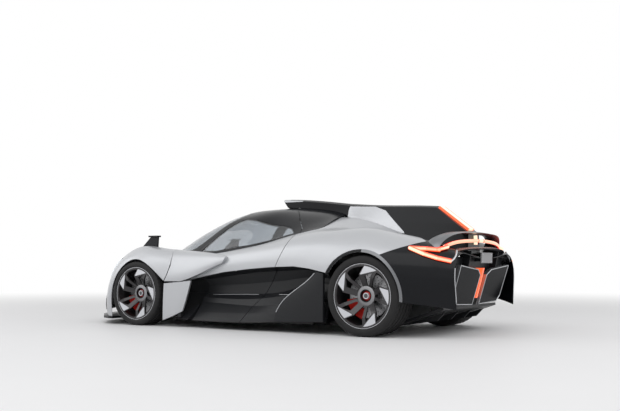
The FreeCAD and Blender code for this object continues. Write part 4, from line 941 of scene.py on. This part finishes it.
def seat_point(side, along, across, lift, width=1.0):
    """Along runs over the stations, across from -1 to 1; lift goes square to the sheet, to its front."""
    first = min(int(along), len(seat_stations) - 2)
    here, there = seat_stations[first], seat_stations[first + 1]
    x, z, half, bolster = (a + (b - a) * (along - first) for a, b in zip(here, there))
    run = Vector((there[0] - here[0], there[1] - here[1])).normalized()
    rise = lift + bolster * max(0.0, (abs(across) - 0.5) / 0.5) ** 1.5
    return Vector((x + run.y * rise, side * seat_middle + across * half * width, z - run.x * rise))


def seat_sheet(name, side, width, lift, thick, padding):
    """Padding of 1 crowns the front and draws it in along a channel at each station; 0 leaves it plain."""
    columns, rows_each = 14, 4
    rows = (len(seat_stations) - 1) * rows_each + 1
    corners = []
    for layer, soft in ((lift, padding), (lift - thick, 0)):
        for row in range(rows):
            for column in range(columns + 1):
                across = 2 * column / columns - 1
                in_channel = row % rows_each == 0 and abs(across) < channel_reach
                swell = soft * (crown * (1 - across ** 4) - (channel_depth if in_channel else 0.0))
                corners.append(seat_point(side, row / rows_each, across, layer + swell, width))
    return mesh_of(name, corners, sheet_faces(rows, columns + 1))


print("seat stations", len(seat_stations))

# %% [markdown]
# The shell replaces the plain block of the frame, and the pad is laid on it.
# One level of subdivision rounds both.

# %% Shells and pads
seat_leather = new_finish("seat_leather", (0.15, 0.148, 0.15), roughness=0.55, shine=0.4)
tint(seat_leather, grain(seat_leather, 25.0), (0.12, 0.118, 0.12), (0.18, 0.178, 0.18))
relief(seat_leather, grain(seat_leather, 450.0, detail=6.0), 0.3, 0.0008)


def soften(piece):
    rounding = piece.modifiers.new("softened", "SUBSURF")
    rounding.levels = rounding.render_levels = 1


for side_name, side in sides:
    name = f"seat_shell_{side_name}"
    sheet = seat_sheet(name, side, shell_width, lift=0.0, thick=0.014, padding=0)
    shell = new_piece(name, sheet, "body", "carbon", dark_carbon, "seats")
    name = f"seat_pad_{side_name}"
    sheet = seat_sheet(name, side, pad_width, lift=0.024, thick=0.022, padding=1)
    pad = new_piece(name, sheet, "body", "trim", seat_leather)
    soften(shell)
    soften(pad)
tell(seat_leather)

# %% [markdown]
# Each seat stands on two steel rails, and two flat straps of a harness lie on its pad. They start wide
# apart at the shoulders and come in towards the buckle. A strap that is pulled tight follows the pad, so
# its points are taken from the seat's own sheet.

# %% Rails and harness
rail_front, rail_back, rail_shift = 0.05, -0.34, 0.12
rail_foot, rail_top = seat_low[2], seat_low[2] + 0.085
rail_outline = [(rail_back, rail_foot), (rail_front, rail_foot), (rail_front, rail_top + 0.02),
                (rail_back, rail_top)]
strap_start, strap_end, strap_steps = 7.4, 2.9, 24      # in stations of the seat sheet
strap_half, strap_apart, strap_drawn_in = 0.1, 0.34, 0.75
strap_layers = (0.0415, 0.0385)
strap_cloth = new_finish("strap_cloth", (0.32, 0.32, 0.33), roughness=0.8, shine=0.3)
tint(strap_cloth, grain(strap_cloth, 900.0), (0.22, 0.22, 0.23), (0.38, 0.38, 0.39))
relief(strap_cloth, grain(strap_cloth, 1200.0), 0.4, 0.0005)


def strap(name, side, first_across):
    corners, faces = [], []
    for step in range(strap_steps + 1):
        along = strap_start + (strap_end - strap_start) * step / strap_steps
        middle = first_across * (1 - strap_drawn_in * step / strap_steps)
        corners += [seat_point(side, along, middle + edge, layer, pad_width)
                    for layer in strap_layers for edge in (-strap_half, strap_half)]
    for step in range(strap_steps):
        a = step * 4
        faces += [(a, a + 1, a + 5, a + 4), (a + 2, a + 6, a + 7, a + 3), (a, a + 4, a + 6, a + 2),
                  (a + 1, a + 3, a + 7, a + 5)]
    last = strap_steps * 4
    faces += [(0, 2, 3, 1), (last, last + 1, last + 3, last + 2)]
    return new_piece(name, mesh_of(name, corners, faces), "body", "trim", strap_cloth)


for side_name, side in sides:
    for kind, sign in (("inner", -1), ("outer", 1)):
        middle = side * seat_middle + sign * rail_shift
        side_plate(f"seat_rail_{kind}_{side_name}", rail_outline, middle, 0.032, "steel", dark_steel,
                   round_steps=2)
        strap(f"harness_{kind}_{side_name}", side, sign * strap_apart)
    print("rails and harness", side_name)

# %% [markdown]
# The footwells are closed at the sides by a thin wall that stands on the tub and reaches up under the
# front wing. It shows only through the open door, so a plate cut to a side outline is enough.

# %% Footwell walls
wall_outline = [(0.50, 0.285), (0.90, 0.285), (0.90, 0.68), (0.66, 0.75), (0.50, 0.73)]
for side_name, side in sides:
    side_plate(f"footwell_wall_{side_name}", wall_outline, side * 0.620, 0.006, "carbon", dark_carbon)
print("footwell walls", len(sides))

# %% [markdown]
# ## Lines of light in the headlamps
# Each headlamp gets a line of light. The frame's lens is one solid, so the line lies on it and not
# behind it. At even steps along the lamp the script looks down, finds the width of the lens there, and
# lays the line along its middle.

# %% Headlamp lines
line_points, probes_across = 6, 120
white_glow = new_finish("white_glow", (0.8, 0.82, 0.85), roughness=0.3,
                        others={"Emission Color": (0.9, 0.95, 1.0, 1), "Emission Strength": 1.1})
relief(white_glow, grain(white_glow, 300.0), 0.1, 0.0005)
lens_low, lens_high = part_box("headlamps")


def lens_below(x, y):
    return surface_at("headlamps", (x, y, 2.0), (0, 0, -1))


for side_name, side in sides:
    line = []
    for step in range(line_points):
        x = lens_low[0] + (lens_high[0] - lens_low[0]) * (0.10 + 0.80 * step / (line_points - 1))
        shares = [0.3 + 0.7 * probe / (probes_across - 1) for probe in range(probes_across)]
        found = [y for y in (side * lens_high[1] * share for share in shares) if lens_below(x, y)]
        if found:
            line.append(lens_below(x, (found[0] + found[-1]) / 2)[0] + Vector((0, 0, 0.001)))
    tube(f"headlamp_line_{side_name}", line, 0.004, "body", "lamp", white_glow)
    print("headlamp line", side_name, len(line), "points")

# %% [markdown]
# ## Studio
# A pale floor, a white surround and three large soft lamps light the car evenly. The camera, the glass
# and the gloss see the surround as white, through the Light Path node. The light that falls on the car
# comes from a dimmer grey world and from the lamps. Far from the car the floor fades to the same white,
# so that no horizon shows.

# %% Floor
floor_reach, fade_start, fade_end = 40.0, 3.0, 13.0
floor_finish = new_finish("studio_floor", (0.80, 0.80, 0.81), roughness=0.6)
tint(floor_finish, grain(floor_finish, 1.5), (0.79, 0.79, 0.80), (0.81, 0.81, 0.82))
far_off = add_node(floor_finish, "ShaderNodeVectorMath", operation="LENGTH")
join(place(floor_finish), far_off.inputs[0])
fade = add_node(floor_finish, "ShaderNodeMapRange", interpolation_type="SMOOTHSTEP",
                **{"From Min": fade_start, "From Max": fade_end})
join(far_off.outputs["Value"], fade.inputs["Value"])
haze = add_node(floor_finish, "ShaderNodeEmission", Color=(1, 1, 1, 1))
blend = add_node(floor_finish, "ShaderNodeMixShader")
join(fade.outputs["Result"], blend.inputs["Fac"])
join(shader_of(floor_finish).outputs["BSDF"], blend.inputs[1])
join(haze.outputs["Emission"], blend.inputs[2])
join(blend.outputs["Shader"], floor_finish.node_tree.nodes["Material Output"].inputs["Surface"])
floor_data = bpy.data.meshes.new("studio_floor")
floor_corners = [(x * floor_reach, y * floor_reach, 0) for x, y in ((-1, -1), (1, -1), (1, 1), (-1, 1))]
floor_data.from_pydata(floor_corners, [], [(0, 1, 2, 3)])
floor_data.materials.append(floor_finish)
add_object("studio_floor", floor_data)
tell(floor_finish)

# %% [markdown]
# The world's strength is 1 for the rays that see it, and less for the light it gives.

# %% World
lighting_strength, seen_strength = 0.45, 1.0
world = bpy.data.worlds.new("studio_world")
bpy.context.scene.world = world
world.use_nodes = True
rays = add_node(world, "ShaderNodeLightPath").outputs
seen = either(either(rays["Is Camera Ray"], rays["Is Transmission Ray"]), rays["Is Glossy Ray"])
background = world.node_tree.nodes["Background"]
background.inputs["Color"].default_value = (1, 1, 1, 1)
join(ranged(seen, 0.0, 1.0, lighting_strength, seen_strength), background.inputs["Strength"])
print("world nodes", len(world.node_tree.nodes))

# %% [markdown]
# The lamps are wide, so that they throw a soft sheen on the satin paint and not a white spot. All three
# look at the middle of the car.


# %% Lamps
def soft_lamp(name, place_at, wide, power):
    data = bpy.data.lights.new(name, "AREA")
    data.shape = "RECTANGLE"
    data.size, data.size_y = wide
    data.energy = power
    lamp = add_object(name, data)
    lamp.location = place_at
    lamp.rotation_euler = (Vector((0, 0, 0.5)) - Vector(place_at)).to_track_quat("-Z", "Y").to_euler()
    print(name, power, "W")


soft_lamp("key_lamp", (-2.5, 5.5, 6.5), (12.0, 8.0), 350)
soft_lamp("fill_lamp", (-7.5, -2.0, 4.5), (7.0, 5.0), 140)
soft_lamp("nose_lamp", (6.5, 4.0, 4.5), (8.0, 6.0), 150)

# %% [markdown]
# ## Camera
# The camera stands where the photographer stood. Its place, turn and lens were found by fitting the
# wheels and the outline of the car in the photograph.

# %% Camera
camera_data = bpy.data.cameras.new("photo_camera")
camera_data.sensor_width = 36.0
camera_data.lens = 50.38
camera = add_object("photo_camera", camera_data)
camera.location = (-5.19869, 7.60684, 0.62951)
yaw, pitch = math.radians(32.855), math.radians(3.905)
looking = Vector((math.sin(yaw) * math.cos(pitch), -math.cos(yaw) * math.cos(pitch), math.sin(pitch)))
camera.rotation_euler = looking.to_track_quat("-Z", "Y").to_euler()
bpy.context.scene.camera = camera
bpy.context.scene.view_settings.view_transform = "Standard"
print("camera at", [round(value, 2) for value in camera.location])
